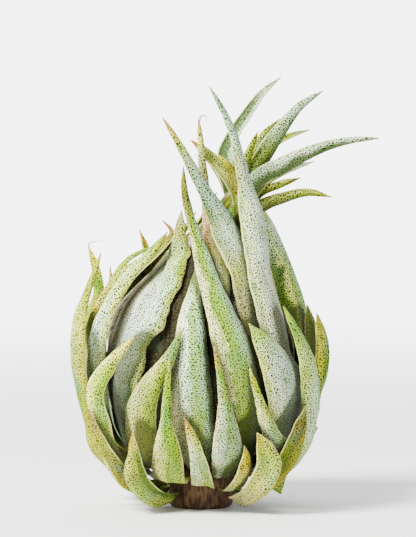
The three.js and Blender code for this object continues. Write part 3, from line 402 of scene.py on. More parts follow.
def aim_stations(s):
    at = np.arange(len(s["azimuth"]))
    before, after = np.maximum(at - 1, 0), np.minimum(at + 1, len(at) - 1)
    turn = (s["azimuth"][after] - s["azimuth"][before]) * layer_radius(s["along"], s["out"])
    rise = s["along"][after] - s["along"][before]
    length = np.hypot(turn, rise)
    length[length == 0] = 1
    s["turn"], s["rise"] = rise / length, -turn / length


def dense_stations(s):
    """Every station with a few more between each pair."""
    count = len(s["azimuth"])
    goals = np.arange((count - 1) * SUB_STATIONS + 1) / SUB_STATIONS
    spread = {k: np.interp(goals, np.arange(count), s[k]) for k in s if k != "outs"}
    columns = [np.interp(goals, np.arange(count), s["outs"][:, j]) for j in range(len(ACROSS))]
    spread["outs"] = np.stack(columns, axis=1)
    return spread


def probe_needs(dense):
    place = across_place(dense, PROBES)
    ring, column = cover_cell(place["azimuth"], place["along"])
    dip = meridian(place["along"])[..., 4] * dense["bend"][:, None]
    place["need"] = cover[ring, column] + LEAF_GAP + dip + place["half"]
    return place


def rigid_out(needs, tilt):
    return (needs["need"] + needs["drop"] - tilt[:, None] * needs["across"]).max(axis=1)


def best_tilt(needs):
    """The tilt that lets each stiff cross-section lie closest."""
    count = len(needs["need"])
    best, chosen = np.full(count, np.inf), np.zeros(count)
    for t in range(-TILT_STEPS, TILT_STEPS + 1):
        tilt = np.full(count, t / TILT_STEPS * STEEPEST_TILT)
        out = rigid_out(needs, tilt)
        flatter = (out < best + TILT_MARGIN) & (np.abs(tilt) < np.abs(chosen))
        better = (out < best - TILT_MARGIN) | flatter
        best, chosen = np.where(better, out, best), np.where(better, tilt, chosen)
    return chosen


def near(i, margin):
    return slice(max(i * SUB_STATIONS - margin, 0), i * SUB_STATIONS + margin + 1)


def lay_stations(s):
    """Lays the stations on what covers the heart so far. The sheath bends to it, the blade stays stiff."""
    aim_stations(s)
    count = len(s["azimuth"])
    at = np.arange(count)
    before, after = np.maximum(at - 1, 0), np.minimum(at + 1, count - 1)
    needs = probe_needs(dense_stations(s))
    tilts = best_tilt(needs)
    s["tilt"] = s["roll"] + np.array([tilts[near(i, SUB_STATIONS)].mean() for i in at])
    rigid = rigid_out(needs, dense_stations(s)["tilt"])
    low = np.array([max(s["reach"][i], rigid[near(i, SUB_STATIONS - 1)].max()) for i in at])
    stiff = low
    for _ in range(SMOOTH_ROUNDS):
        stiff = np.maximum(low, (stiff[before] + 2 * stiff + stiff[after]) / 4)
    floor = np.zeros((count, len(ACROSS)))
    for i in at:
        some = needs["need"][near(i, SUB_STATIONS - 1)]
        for j in range(len(ACROSS)):
            floor[i, j] = max(s["reach"][i], some[:, max(2 * j - 1, 0):2 * j + 2].max())
    soft = floor
    left = np.maximum(np.arange(len(ACROSS)) - 1, 0)
    right = np.minimum(np.arange(len(ACROSS)) + 1, len(ACROSS) - 1)
    for _ in range(SMOOTH_ROUNDS):
        sideways = (soft[:, left] + soft[:, right]) / 2
        lengthways = ALONG_SHARE * (soft[before] + soft[after]) / 2
        soft = np.maximum(floor, KEPT_SHARE * soft + lengthways + SIDEWAYS_SHARE * sideways)
    place = across_place(s, ACROSS)
    level = stiff[:, None] + s["tilt"][:, None] * place["across"] - place["drop"]
    s["outs"] = soft + (level - soft) * s["stiffness"][:, None]
    s["out"] = s["outs"][:, MIDDLE].copy()


def cover_with(s):
    dense = dense_stations(s)
    place = across_place(dense, PROBES)
    at = (PROBES + 1) / 2 * (len(ACROSS) - 1)
    j = np.minimum(np.floor(at).astype(int), len(ACROSS) - 2)
    outs = dense["outs"]
    out = outs[:, j] + (outs[:, j + 1] - outs[:, j]) * (at - j)
    raise_cover(place["azimuth"].ravel(), place["along"].ravel(), (out + place["half"]).ravel())


def outline_place(radius, height):
    """The way along the outline and the distance out of a point given by its radius and height."""
    dr, dz = radius - MERIDIAN[:, 0], height - MERIDIAN[:, 1]
    i = int(np.argmin(np.hypot(dr, dz)))
    return i * MERIDIAN_STEP, dr[i] * MERIDIAN[i, 2] + dz[i] * MERIDIAN[i, 3]


def front_place(row, fit, hangs):
    """Azimuth, way along, half width and reach of a place seen from the front."""
    x, z, half_width = row
    across = x - float(lean_at(z)) + fit["shift"]
    along = along_at_height(z, fit["out"])
    radius = float(layer_radius(along, fit["out"]))
    cone = SKIRT_RADIUS + SKIRT_SLOPE * (z - SKIRT_HEIGHT)
    skirt = min(cone, SKIRT_TOP_RADIUS) if hangs else 0
    if skirt > radius and abs(across) <= skirt * SILHOUETTE_SINE:
        way, reach = outline_place(skirt, z)
        return [math.asin(across / skirt), way, half_width * fit["widen"], reach]
    if abs(across) <= radius * SILHOUETTE_SINE:
        return [math.asin(across / radius), along, half_width * fit["widen"], 0]
    way, reach = outline_place(abs(across) / SILHOUETTE_SINE, z)
    return [math.copysign(math.asin(SILHOUETTE_SINE), across), way, half_width, reach]


def azimuth_place(row, out, reach):
    return [math.radians(row[0]), along_at_height(row[1], out), row[2], reach]


def bulb_reach(a, b):
    return math.hypot((a[0] - b[0]) * float(layer_radius(a[1], TYPICAL_OUT)), a[1] - b[1])


def root_rows(first, foot, spread):
    """Rows from the leaf's foot up to its first visible row."""
    steps = max(1, whole((first[1] - foot) / ROOT_STEP))
    rows = []
    for i in range(steps):
        share = i / steps
        half_width = ROOT_HALF_WIDTH + (first[2] - ROOT_HALF_WIDTH) * share**2
        along = foot + (first[1] - foot) * share
        azimuth = first[0] * (1 + (spread - 1) * (1 - along / max(first[1], 1)))
        rows.append([azimuth, along, half_width, 0])
    return rows


def front_looks(s):
    """How laid stations show from the front: how far the middle line lies beside the middle of what
    shows, and how much wider than it shows each one is."""
    points = laid_net(s)[..., [0, 2]]
    across = points[:, -1] - points[:, 0]
    across /= np.linalg.norm(across, axis=1)[:, None]
    ways = (points * across[:, None]).sum(axis=2)
    low, high = ways.min(axis=1), ways.max(axis=1)
    shift = (ways[:, MIDDLE] - (low + high) / 2) * across[:, 0]
    widen = 2 * s["half_width"] / np.maximum(high - low, TIP_HALF_WIDTH)
    return {"out": s["out"], "shift": shift, "widen": np.clip(widen, 1, MOST_WIDENING)}


def lay_leaf(plan):
    """Stations of a leaf on the bulb, laid on the leaves inside it."""
    on_bulb = [row for row in plan["rows"] if len(row) == 3]
    by_azimuth = plan.get("byAzimuth", False)
    step = plan.get("step", STATION_STEP)
    fits = [{"out": TYPICAL_OUT, "shift": 0, "widen": 1} for _ in on_bulb]
    for _ in range(LAY_ROUNDS):
        places = []
        for i, (row, fit) in enumerate(zip(on_bulb, fits)):
            lift = plan.get("lift", 0) * (i / (len(on_bulb) - 1)) ** TIP_LIFT_POWER
            if by_azimuth:
                places.append(azimuth_place(row, fit["out"], lift))
            else:
                places.append(front_place(row, fit, plan.get("hangs")))
        foot = max(min(plan.get("foot", ROOT_CLEARANCE), places[0][1] - 1), 0)
        rows = root_rows(places[0], foot, 1 if by_azimuth else ROOT_SPREAD) + places
        count = max(LEAST_STATIONS, whole(curve_length(rows, bulb_reach) / step))
        azimuth, along, half_width, reach = even_rows(rows, count, bulb_reach).T
        grown = smooth_step(0, BLADE_GROWTH, along - places[0][1])
        wave = plan.get("wave", 0) * np.sin(2 * math.pi * along / WAVE_LENGTH)
        s = {
            "azimuth": azimuth,
            "along": along,
            "half_width": np.maximum(half_width + wave, TIP_HALF_WIDTH),
            "reach": np.maximum(reach, 0),
            "roll": math.tan(math.radians(plan.get("roll", 0))) * grown,
            "curl": math.radians(plan["curl"]) * grown,
            "bend": np.full(count + 1, (step / STATION_STEP) ** 2),
            "stiffness": smooth_step(-ROOT_STEP, BLADE_GROWTH, along - places[0][1]),
            "out": np.full(count + 1, TYPICAL_OUT),
            "turn": np.zeros(count + 1),
            "rise": np.zeros(count + 1),
            "tilt": np.zeros(count + 1),
            "outs": np.full((count + 1, len(ACROSS)), TYPICAL_OUT),
        }
        lay_stations(s)
        looks = front_looks(s)
        for fit, place in zip(fits, places):
            nearest = int(np.argmin(np.abs(s["along"] - place[1])))
            for key in fit:
                fit[key] = (fit[key] + looks[key][nearest]) / 2
    return s


def laid_net(s):
    place = across_place(s, ACROSS)
    return bulb_point(place["azimuth"], place["along"], s["outs"])


def unit(v):
    return v / max(np.linalg.norm(v), 1e-12)


def free_reach(a, b):
    return math.dist(a[:3], b[:3])


def free_net(rows, start, curl):
    """The net of a blade that stands free, carried on from a normal without twisting."""
    count = max(2, whole(curve_length(np.array(rows, float), free_reach) / FAN_STEP))
    even = even_rows(rows, count, free_reach)
    points = even[:, :3]
    normal = np.array(start, float)
    net = np.zeros((count + 1, len(ACROSS), 3))
    for i in range(count + 1):
        tangent = unit(points[min(i + 1, count)] - points[max(i - 1, 0)])
        normal = unit(normal - tangent * (normal @ tangent))
        across = np.cross(tangent, normal)
        angle, radius = section_arc(max(even[i, 3], TIP_HALF_WIDTH), curl)
        for j, share in enumerate(ACROSS):
            sideways = across * radius * math.sin(angle * share)
            net[i, j] = points[i] + sideways + normal * (radius * math.cos(angle * share) - radius)
    return net


def net_normals(net):
    """Outward normals of a net."""
    rows, columns = net.shape[:2]
    i, j = np.arange(rows), np.arange(columns)
    along = net[np.minimum(i + 1, rows - 1)] - net[np.maximum(i - 1, 0)]
    across = net[:, np.minimum(j + 1, columns - 1)] - net[:, np.maximum(j - 1, 0)]
    normal = np.cross(across, along)
    return normal / np.maximum(np.linalg.norm(normal, axis=-1), 1e-12)[..., None]


def leaf_net(plan):
    """The whole coarse net of a leaf: the part on the bulb, then the free part if it has one."""
    s = lay_leaf(plan)
    cover_with(s)
    net = laid_net(s)
    free = [row for row in plan["rows"] if len(row) == 4]
    if free:
        end = net[-1, MIDDLE]
        rows = [[*end, s["half_width"][-1]]] + [[x, y, z, w] for x, z, w, y in free]
        start = net_normals(net)[-1, MIDDLE]
        net = np.concatenate([net, free_net(rows, start, math.radians(plan["curl"]))[1:]])
    return net


def random_from(seed):
    """The seeded draws of the solids' back leaves."""
    state = seed

    def draw():
        nonlocal state
        state = (state + 0x6D2B79F5) & 0xFFFFFFFF
        t = ((state ^ (state >> 15)) * (1 | state)) & 0xFFFFFFFF
        t = ((t + (((t ^ (t >> 7)) * (61 | t)) & 0xFFFFFFFF)) & 0xFFFFFFFF) ^ t
        return (t ^ (t >> 14)) / 4294967296

    return draw


def back_leaf_plans():
    draw = random_from(BACK_SEED)

    def between(low, high):
        return low + (high - low) * draw()

    whorls = []
    for whorl in leaf_plans(BACK_WHORLS):
        plans = []
        for i in range(int(whorl["count"])):
            azimuth = whorl["from"] + (whorl["to"] - whorl["from"]) * i / (whorl["count"] - 1)
            azimuth += between(-BACK_SCATTER, BACK_SCATTER)
            tip = whorl["tip"] + between(-BACK_SCATTER, BACK_SCATTER)
            sway = whorl["sway"] * between(*SWAY_SPREAD)
            width = whorl["width"] * between(*WIDTH_SPREAD)
            rows = [
                [azimuth + sway * share**2, BACK_FOOT + (tip - BACK_FOOT) * share, width * wide]
                for share, wide in BACK_SHAPE
            ]
            name = f"{whorl['name']}_{i + 1}"
            free = [[x, z, half_width, y] for x, y, z, half_width in FREE_BACK_TIPS.get(name, [])]
            if free:
                rows[BACK_ON_BULB:] = free
            plans.append({**whorl, "name": name, "rows": rows, "byAzimuth": True})
        whorls.append(plans)
    return whorls


# The solids' nets, in laying order, as (plan, net)
inner_back, middle_back, outer_back, base_back = back_leaf_plans()
HANGING = [{**plan, "hangs": True} for plan in leaf_plans(LOW_LEAVES)]
PLANS = [*inner_back, *middle_back, *leaf_plans(FRONT_LEAVES), *outer_back, *base_back, *HANGING]
LEAF_NETS = [(plan, leaf_net(plan)) for plan in PLANS]

# Fine leaf skin, in millimetres and in shares of the half width
FINE_ALONG = 0.8
FINE_COLUMNS = 16
BLADE_MIDDLE = 0.6
BLADE_MARGIN = 0.2
TIP_TAPER = 3.2
TAPER_POWER = 0.7
TIP_END = 0.16
THINNEST_SHARE = 0.35
WAVES_GROW = (6, 18)
WAVES_STOP = 6
MARGIN_FROM = 0.45
WIDTH_WAVES = ((1.3, 0.6), (4.5, 1))
LEVEL_WAVES = ((2.6, 1), (1.2, 0.5))
RIM_SHARE = 0.45
RIM_UV = 0.15
INNER_UV = 30

# Scale hairs on the margins, in millimetres
HAIR_STEP = 0.42
STEP_SPREAD = (0.5, 1.5)
HAIRS_FROM = 5.0
HAIRS_STOP = 0.4
HAIR_LENGTH = (0.14, 0.34)
HAIR_SWEEP = (0.1, 0.9)
HAIR_SPREAD = (-0.5, 0.5)
HAIR_RADIUS = (0.035, 0.06)

# Materials in each leaf's piece
HAIR_SLOT = 1
DRY_SLOT = 2


def refine(net, counts):
    """A net with more rows between each pair, by the rule of the solids' curves."""
    rows = [row_at(net, i + k / counts[i]) for i in range(len(net) - 1) for k in range(counts[i])]
    return np.array([*rows, net[-1]])


def fine_net(net):
    lengths = np.linalg.norm(net[1:, MIDDLE] - net[:-1, MIDDLE], axis=1)
    tall = refine(net, [max(1, whole(length / FINE_ALONG)) for length in lengths])
    across = np.swapaxes(tall, 0, 1)
    wide = refine(across, [FINE_COLUMNS // (len(ACROSS) - 1)] * (len(ACROSS) - 1))
    return np.swapaxes(wide, 0, 1)


def smooth_noise(rng, count, step):
    """Seeded smooth noise between -1 and 1, with one new value every so many places."""
    keys = [rng.uniform(-1, 1) for _ in range(int(count / step) + 3)]
    at = np.arange(count) / step
    i = np.floor(at).astype(int)
    t = at - i
    t = t * t * (3 - 2 * t)
    keys = np.array(keys)
    return keys[i] + (keys[i + 1] - keys[i]) * t


def way_along(points):
    return np.concatenate([[0], np.cumsum(np.linalg.norm(points[1:] - points[:-1], axis=1))])


def unit_rows(v):
    return v / np.maximum(np.linalg.norm(v, axis=-1), 1e-9)[..., None]


def tube_faces(rings, sides):
    """Faces of a closed tube whose points are listed ring by ring."""
    faces = []
    for i in range(rings - 1):
        for k in range(sides):
            m = (k + 1) % sides
            faces.append((i * sides + k, i * sides + m, (i + 1) * sides + m, (i + 1) * sides + k))
    faces.append(tuple(range(sides))[::-1])
    faces.append(tuple((rings - 1) * sides + k for k in range(sides)))
    return faces


class MeshParts:
    """Collects points, faces, UVs and materials of one piece."""

    def __init__(self):
        self.points, self.faces, self.uvs, self.shares, self.slots = [], [], [], [], []
        self.count = 0

    def add(self, points, faces, slot=0, uvs=None, shares=None):
        points = np.asarray(points, float).reshape(-1, 3)
        flat = np.zeros((len(points), 2))
        self.points.append(points)
        self.faces += [tuple(self.count + v for v in face) for face in faces]
        self.uvs.append(flat if uvs is None else np.asarray(uvs, float).reshape(-1, 2))
        self.shares.append(flat + 0.5 if shares is None else np.asarray(shares, float).reshape(-1, 2))
        self.slots += [slot] * len(faces)
        self.count += len(points)


def add_uv_layer(mesh, name, values):
    corner = np.zeros(len(mesh.loops), np.int32)
    mesh.loops.foreach_get("vertex_index", corner)
    layer = mesh.uv_layers.new(name=name)
    layer.data.foreach_set("uv", values[corner].astype(np.float32).ravel())


def build_object(name, parts, materials, node):
    mesh = bpy.data.meshes.new(name)
    points = np.concatenate(parts.points) * MM
    mesh.from_pydata(points.tolist(), [], parts.faces)
    add_uv_layer(mesh, "surface_mm", np.concatenate(parts.uvs))
    add_uv_layer(mesh, "leaf_share", np.concatenate(parts.shares))
    mesh.polygons.foreach_set("material_index", parts.slots)
    mesh.polygons.foreach_set("use_smooth", [True] * len(mesh.polygons))
    for material in materials:
        mesh.materials.append(material)
    mesh.validate()
    mesh.update()
    obj = bpy.data.objects.new(name, mesh)
    bpy.context.scene.collection.objects.link(obj)
    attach(obj, "root")
    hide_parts(node)
    return obj


def add_leaf(parts, net, rng, curl_in, ragged, crinkle, first_uv, slot=0):
    """Adds one leaf: a thin closed skin with soft margins that ends in a point, and its margin hairs."""
    n, columns = net.shape[:2]
    middle = columns // 2
    normals = net_normals(net)
    along = way_along(net[:, middle])
    total = along[-1]
    share = np.linspace(-1, 1, columns)
    taper = np.clip((total - along) / TIP_TAPER, 0, 1) ** TAPER_POWER
    narrow = TIP_END + (1 - TIP_END) * taper
    centre = net[:, middle:middle + 1]
    net = centre + (net - centre) * narrow[:, None, None]
    # Ragged margins: width and level both vary a little along each side
    blade = smooth_step(*WAVES_GROW, along) * smooth_step(0, WAVES_STOP, total - along)
    for side in (-1, 1):
        near_margin = np.clip((share * side - MARGIN_FROM) / (1 - MARGIN_FROM), 0, 1) ** 2
        sideways = net[:, -1 if side > 0 else 0] - net[:, middle]
        sideways /= np.maximum(np.linalg.norm(sideways, axis=1), 1e-6)[:, None]
        width, level = (
            sum(smooth_noise(rng, n, step) * size for step, size in waves)
            for waves in (WIDTH_WAVES, LEVEL_WAVES)
        )
        shift = (ragged * width * blade)[:, None] * sideways
        net = net + near_margin[None, :, None] * shift[:, None, :]
        lift = crinkle * level * blade - curl_in * blade
        net = net + normals * (near_margin[None, :] * lift[:, None])[..., None]
    normals = net_normals(net)
    thick = BLADE_MIDDLE + (BLADE_MARGIN - BLADE_MIDDLE) * np.abs(share) ** 3
    thick = thick[None, :] * (THINNEST_SHARE + (1 - THINNEST_SHARE) * narrow[:, None])
    outer = net + normals * thick[..., None] / 2
    inner = net - normals * thick[..., None] / 2
    rims = []
    for column in (columns - 1, 0):
        beside = unit_rows(net[:, column] - net[:, middle])
        rims.append(net[:, column] + beside * thick[:, column:column + 1] * RIM_SHARE)
    ring = np.concatenate([outer, rims[0][:, None], inner[:, ::-1], rims[1][:, None]], axis=1)
    size = ring.shape[1]
    sideways_mm = np.concatenate([
        np.zeros((n, 1)), np.cumsum(np.linalg.norm(net[:, 1:] - net[:, :-1], axis=2), axis=1)
    ], axis=1)
    sideways_mm -= sideways_mm[:, middle:middle + 1]
    right, left = sideways_mm[:, -1:] + RIM_UV, sideways_mm[:, :1] - RIM_UV
    u = np.concatenate([sideways_mm, right, sideways_mm[:, ::-1] + INNER_UV, left], axis=1) + first_uv
    v = np.repeat(along[:, None], size, axis=1)
    across_share = (share + 1) / 2
    s = np.concatenate([across_share, [1.0], across_share[::-1], [0.0]])
    s = np.repeat(s[None], n, axis=0)
    w = np.repeat((along / total)[:, None], size, axis=1)
    parts.add(ring, tube_faces(n, size), slot, np.stack([u, v], axis=2), np.stack([s, w], axis=2))
    add_margin_hairs(parts, net, normals, along, rng)


def add_margin_hairs(parts, net, normals, along, rng):
    """Short pale scale hairs that stand out from both margins."""
    middle = net.shape[1] // 2
    points, faces = [], []
    for column in (0, net.shape[1] - 1):
        at = HAIRS_FROM
        while at < along[-1] - HAIRS_STOP:
            at += HAIR_STEP * rng.uniform(*STEP_SPREAD)
            place = float(np.interp(at, along, np.arange(len(along))))
            i = min(int(place), len(along) - 2)
            t = place - i
            base = net[i, column] * (1 - t) + net[i + 1, column] * t
            out = unit(base - (net[i, middle] * (1 - t) + net[i + 1, middle] * t))
            way = unit(net[i + 1, column] - net[i, column])
            up = normals[i, column]
            lean = out + way * rng.uniform(*HAIR_SWEEP) + up * rng.uniform(*HAIR_SPREAD)
            tip = base + unit(lean) * rng.uniform(*HAIR_LENGTH)
            r = rng.uniform(*HAIR_RADIUS)
            k = len(points)
            points += [base + way * r, base - way * r * 0.5 + up * r, base - way * r * 0.5 - up * r, tip]
            faces += [(k, k + 1, k + 3), (k + 1, k + 2, k + 3), (k + 2, k, k + 3), (k, k + 2, k + 1)]
    if points:
        parts.add(points, faces, HAIR_SLOT)


# Recess: how deep a point lies below the leaves around it, from the finished cover
WIDE_REACH = 6
NEAR_REACH = 2
DEEPEST_WIDE = 8
DEEPEST_NEAR = 4
POINTS_AT_ONCE = 4000


def mean_cover(reach):
    total = np.zeros_like(cover)
    for dr in range(-reach, reach + 1):
        rows = np.clip(np.arange(COVER_RINGS) + dr, 0, COVER_RINGS - 1)
        for dc in range(-reach, reach + 1):
            total += np.roll(cover[rows], dc, axis=1)
    return total / (2 * reach + 1) ** 2


WIDE_COVER = mean_cover(WIDE_REACH)
NEAR_COVER = mean_cover(NEAR_REACH)


def cover_between(grid, azimuth, along):
    """The grid's value between its cells."""
    column = azimuth / (2 * math.pi) * COVER_COLUMNS - 0.5
    ring = np.clip(along / COVER_STEP - 0.5, 0, COVER_RINGS - 1.001)
    c, r = np.floor(column).astype(int), np.floor(ring).astype(int)
    tc, tr = column - c, ring - r
    low = grid[r, c % COVER_COLUMNS] * (1 - tc) + grid[r, (c + 1) % COVER_COLUMNS] * tc
    high = grid[r + 1, c % COVER_COLUMNS] * (1 - tc) + grid[r + 1, (c + 1) % COVER_COLUMNS] * tc
    return low * (1 - tr) + high * tr


def recess_of(points):
    """How far each point lies under the mean outer face around it, in millimetres."""
    lean = lean_at(points[:, 2])
    azimuth = np.arctan2(points[:, 0] - lean, -points[:, 1])
    radius = np.hypot(points[:, 0] - lean, points[:, 1])
    along, out = np.zeros(len(points)), np.zeros(len(points))
    for start in range(0, len(points), POINTS_AT_ONCE):
        part = slice(start, start + POINTS_AT_ONCE)
        dr = radius[part, None] - MERIDIAN[None, :, 0]
        dz = points[part, 2, None] - MERIDIAN[None, :, 1]
        i = np.argmin(dr * dr + dz * dz, axis=1)
        rows = np.arange(len(i))
        along[part] = i * MERIDIAN_STEP
        out[part] = dr[rows, i] * MERIDIAN[i, 2] + dz[rows, i] * MERIDIAN[i, 3]
    wide = cover_between(WIDE_COVER, azimuth, along) - out
    close = cover_between(NEAR_COVER, azimuth, along) - out
    return np.stack([np.clip(wide, 0, DEEPEST_WIDE), np.clip(close, 0, DEEPEST_NEAR)], axis=1)


def add_recess(obj):
    """Keeps each point's recess in a UV layer, for the skin's painted brown shade and painted crease shade.
    """
    points = np.zeros(len(obj.data.vertices) * 3, np.float32)
    obj.data.vertices.foreach_get("co", points)
    add_uv_layer(obj.data, "recess_mm", recess_of(points.reshape(-1, 3).astype(float) / MM))


def srgb(red, green, blue):
    """A colour given in the 0 to 255 values of a screen, as the linear values that shaders use."""
    values = [v / 255 for v in (red, green, blue)]
    linear = [v / 12.92 if v <= 0.04045 else ((v + 0.055) / 1.055) ** 2.4 for v in values]
    return (*linear, 1.0)


ROUGHNESS = 0.9
SPECULAR = 0.12
SHEEN_ROUGHNESS = 0.6
BUMP_STRENGTH = 0.7


class Graph:
    """The nodes of a material or world, added one by one."""

    def __init__(self, owner):
        self.owner = owner
        owner.use_nodes = True
        self.tree = owner.node_tree

    def feed(self, socket, value):
        if isinstance(value, bpy.types.NodeSocket):
            self.tree.links.new(value, socket)
        else:
            socket.default_value = value

    def node(self, kind, inputs=None, **settings):
        made = self.tree.nodes.new(kind)
        for key, value in settings.items():
            setattr(made, key, value)
        for key, value in (inputs or {}).items():
            self.feed(made.inputs[key], value)
        return made

    def math(self, operation, a, b=0.0):
        return self.node("ShaderNodeMath", {0: a, 1: b}, operation=operation).outputs[0]

    def times(self, a, b):
        return self.math("MULTIPLY", a, b)

    def sway(self, value, noise, amount):
        """The value, moved to either side by a noise."""
        return self.math("ADD", value, self.times(self.math("SUBTRACT", noise, 0.5), amount))

    def vector(self, operation, a, b=(0.0, 0.0, 0.0)):
        return self.node("ShaderNodeVectorMath", {0: a, 1: b}, operation=operation)

    def parts(self, vector):
        return self.node("ShaderNodeSeparateXYZ", {"Vector": vector}).outputs

    def step(self, value, start, end, low=0.0, high=1.0):
        inputs = {"Value": value, "From Min": start, "From Max": end, "To Min": low, "To Max": high}
        return self.node("ShaderNodeMapRange", inputs, interpolation_type="SMOOTHSTEP").outputs["Result"]

    def mix(self, share, a, b, blend="MIX"):
        made = self.node("ShaderNodeMix", {0: share, 6: a, 7: b}, data_type="RGBA", blend_type=blend)
        return made.outputs[2]

    def noise(self, vector, scale, detail=2.0, dimensions="3D"):
        inputs = {"Vector": vector, "Scale": scale, "Detail": detail}
        return self.node("ShaderNodeTexNoise", inputs, noise_dimensions=dimensions).outputs["Fac"]

    def place(self):
        return self.node("ShaderNodeTexCoord").outputs["Object"]

    def uv(self, layer):
        return self.node("ShaderNodeUVMap", uv_map=layer).outputs["UV"]

    def ramp(self, value, stops):
        made = self.node("ShaderNodeValToRGB", {"Fac": value})
        band = made.color_ramp
        band.elements[0].position, band.elements[0].color = stops[0]
        band.elements[1].position, band.elements[1].color = stops[-1]
        for place, colour in stops[1:-1]:
            band.elements.new(place).color = colour
        return made

    def finish(self, colour, height, depth, sheen=0.0):
        inputs = {"Height": height, "Strength": BUMP_STRENGTH, "Distance": depth}
        bump = self.node("ShaderNodeBump", inputs)
        shader = self.node("ShaderNodeBsdfPrincipled", {
            "Base Color": colour, "Normal": bump.outputs[0], "Roughness": ROUGHNESS,
            "Specular IOR Level": SPECULAR, "Sheen Weight": sheen, "Sheen Roughness": SHEEN_ROUGHNESS,
        })
        out = self.node("ShaderNodeOutputMaterial")
        self.tree.links.new(shader.outputs["BSDF"], out.inputs["Surface"])
        return shader


def new_material(name):
    g = Graph(bpy.data.materials.new(name))
    g.tree.nodes.clear()
    return g


# Skin colours, as albedo under the studio light. The deep brown and the two dark colours of the heart are
# painted shade.
COLOURS = {
    "silver": (178, 196, 166), "lilac": (190, 188, 172), "pale": (178, 184, 84),
    "pale_green": (146, 172, 62), "fresh": (134, 152, 0), "vivid": (88, 128, 0), "deep": (54, 80, 8),
    "olive": (104, 102, 10), "teal": (108, 154, 118), "beige": (172, 152, 106), "yellow": (178, 170, 0),
    "gold": (168, 142, 0), "orange": (172, 104, 10), "brown": (118, 64, 30), "grey_tip": (104, 100, 84),
    "fan_green": (108, 124, 48), "cream": (220, 212, 150), "ash": (150, 166, 160), "sky": (160, 190, 184),
    "rose": (176, 134, 100), "cool": (116, 156, 122), "warm": (170, 142, 84), "shade_green": (72, 110, 14),
    "deep_brown": (30, 20, 13), "heart_black": (18, 12, 7), "heart_brown": (22, 15, 8),
}
COLOURS = {name: srgb(*value) for name, value in COLOURS.items()}
# Painted shade: dark olive where the skin lies just below the leaves beside it
CREASE_SHADE = srgb(46, 50, 18)
DOT_DARK = srgb(28, 36, 8)
DOT_SOFT = srgb(48, 50, 28)
PALE_MARGIN = srgb(222, 222, 130)
BLACK = (0.0, 0.0, 0.0, 1.0)

# What the skin's colour is multiplied by in the shields, between them and in streaks
LIGHTER = (1.5, 1.5, 1.45, 1.0)
DARKER = (0.46, 0.56, 0.3, 1.0)
SPARK = (1.22, 1.22, 1.26, 1.0)
GRIT = (0.7, 0.74, 0.6, 1.0)
STREAK_LIGHT = (1.15, 1.15, 1.18, 1.0)
STREAK_DARK = (0.74, 0.8, 0.6, 1.0)

# Scales of the noises: warm and cool patches by place, the rest by the skin's millimetres
WARM_SCALE = 75.0
COOL_SCALE = 130.0
RUN_SCALE = 0.35
BAND_SCALE = 0.3
STREAK_STRETCH = (1.1, 0.16, 1.0)
WARP_SCALE = 1.1
FIBRE_SCALE = 6.0

# How far noises move the colours along the leaf, the bands across it and the shields
RUN_SWAY = 0.16
BAND_SWAY = 0.35
WARP_REACH = (0.28, 0.28, 0.0)
FIBRE_SWAY = 0.16

# Soft steps: from, to, and the values at both ends where they aren't 0 and 1
PATCH_STEP = (0.48, 0.66)
BAND_FADE = (0.76, 0.92, 1.0, 0.15)
STREAK_LIGHT_STEP = (0.5, 0.66)
STREAK_DARK_STEP = (0.48, 0.34)
SPARK_STEP = (0.5, 0.68)
GRIT_STEP = (0.48, 0.32)
RING_IN = (0.32, 0.4)
RING_OUT = (0.5, 0.66, 1.0, 0.0)
RING_GRAIN = (0.3, 0.6, 0.4, 1.0)
BETWEEN_RINGS = (0.56, 0.72, 0.0, 0.9)
SHEATH_TO_BLADE = (0.35, 0.6)
DOTS_FADE = (0.93, 1.0, 1.0, 0.4)
RIM_STEP = (0.44, 0.49)
RIM_GROWS = (0.25, 0.45)
CREASE_SHADE_STEP = (0.5, 2.2)
RECESS_SHADE_STEP = (6.0, 8.5, 0.0, 0.9)

# Shields, in millimetres and in shares of their spacing
SHIELD_STEP = 0.64
SHIELD_SCATTER = 0.8
DOT_RADIUS = 0.18
DOT_VARIES = 0.14
DOT_EDGE = 0.1
SKIN_RELIEF = 0.00012

# Scale hairs and dry tissue
GRAIN_STEP = (0.35, 0.65)
HAIR_SCALE = 900.0
HAIR_RELIEF = 0.00005
HAIR_SHEEN = 0.2
DRY_STRETCH = (1.0, 1.0, 0.25)
DRY_SCALE = 1500.0
DRY_PATCH_SCALE = 260.0
DRY_PATCH_STEP = (0.5, 0.75, 0.0, 0.6)
DRY_PATCH = srgb(40, 28, 20)
DRY_RELIEF = 0.00015


def colour_stops(text):
    """Stops from text: a place in percent, a colour and, for a band, its share in percent."""
    stops = []
    for words in (stop.split() for stop in text.split(",")):
        share = float(words[2]) / 100 if len(words) > 2 else 1.0
        stops.append((int(words[0]) / 100, (*COLOURS[words[1]][:3], share)))
    return stops


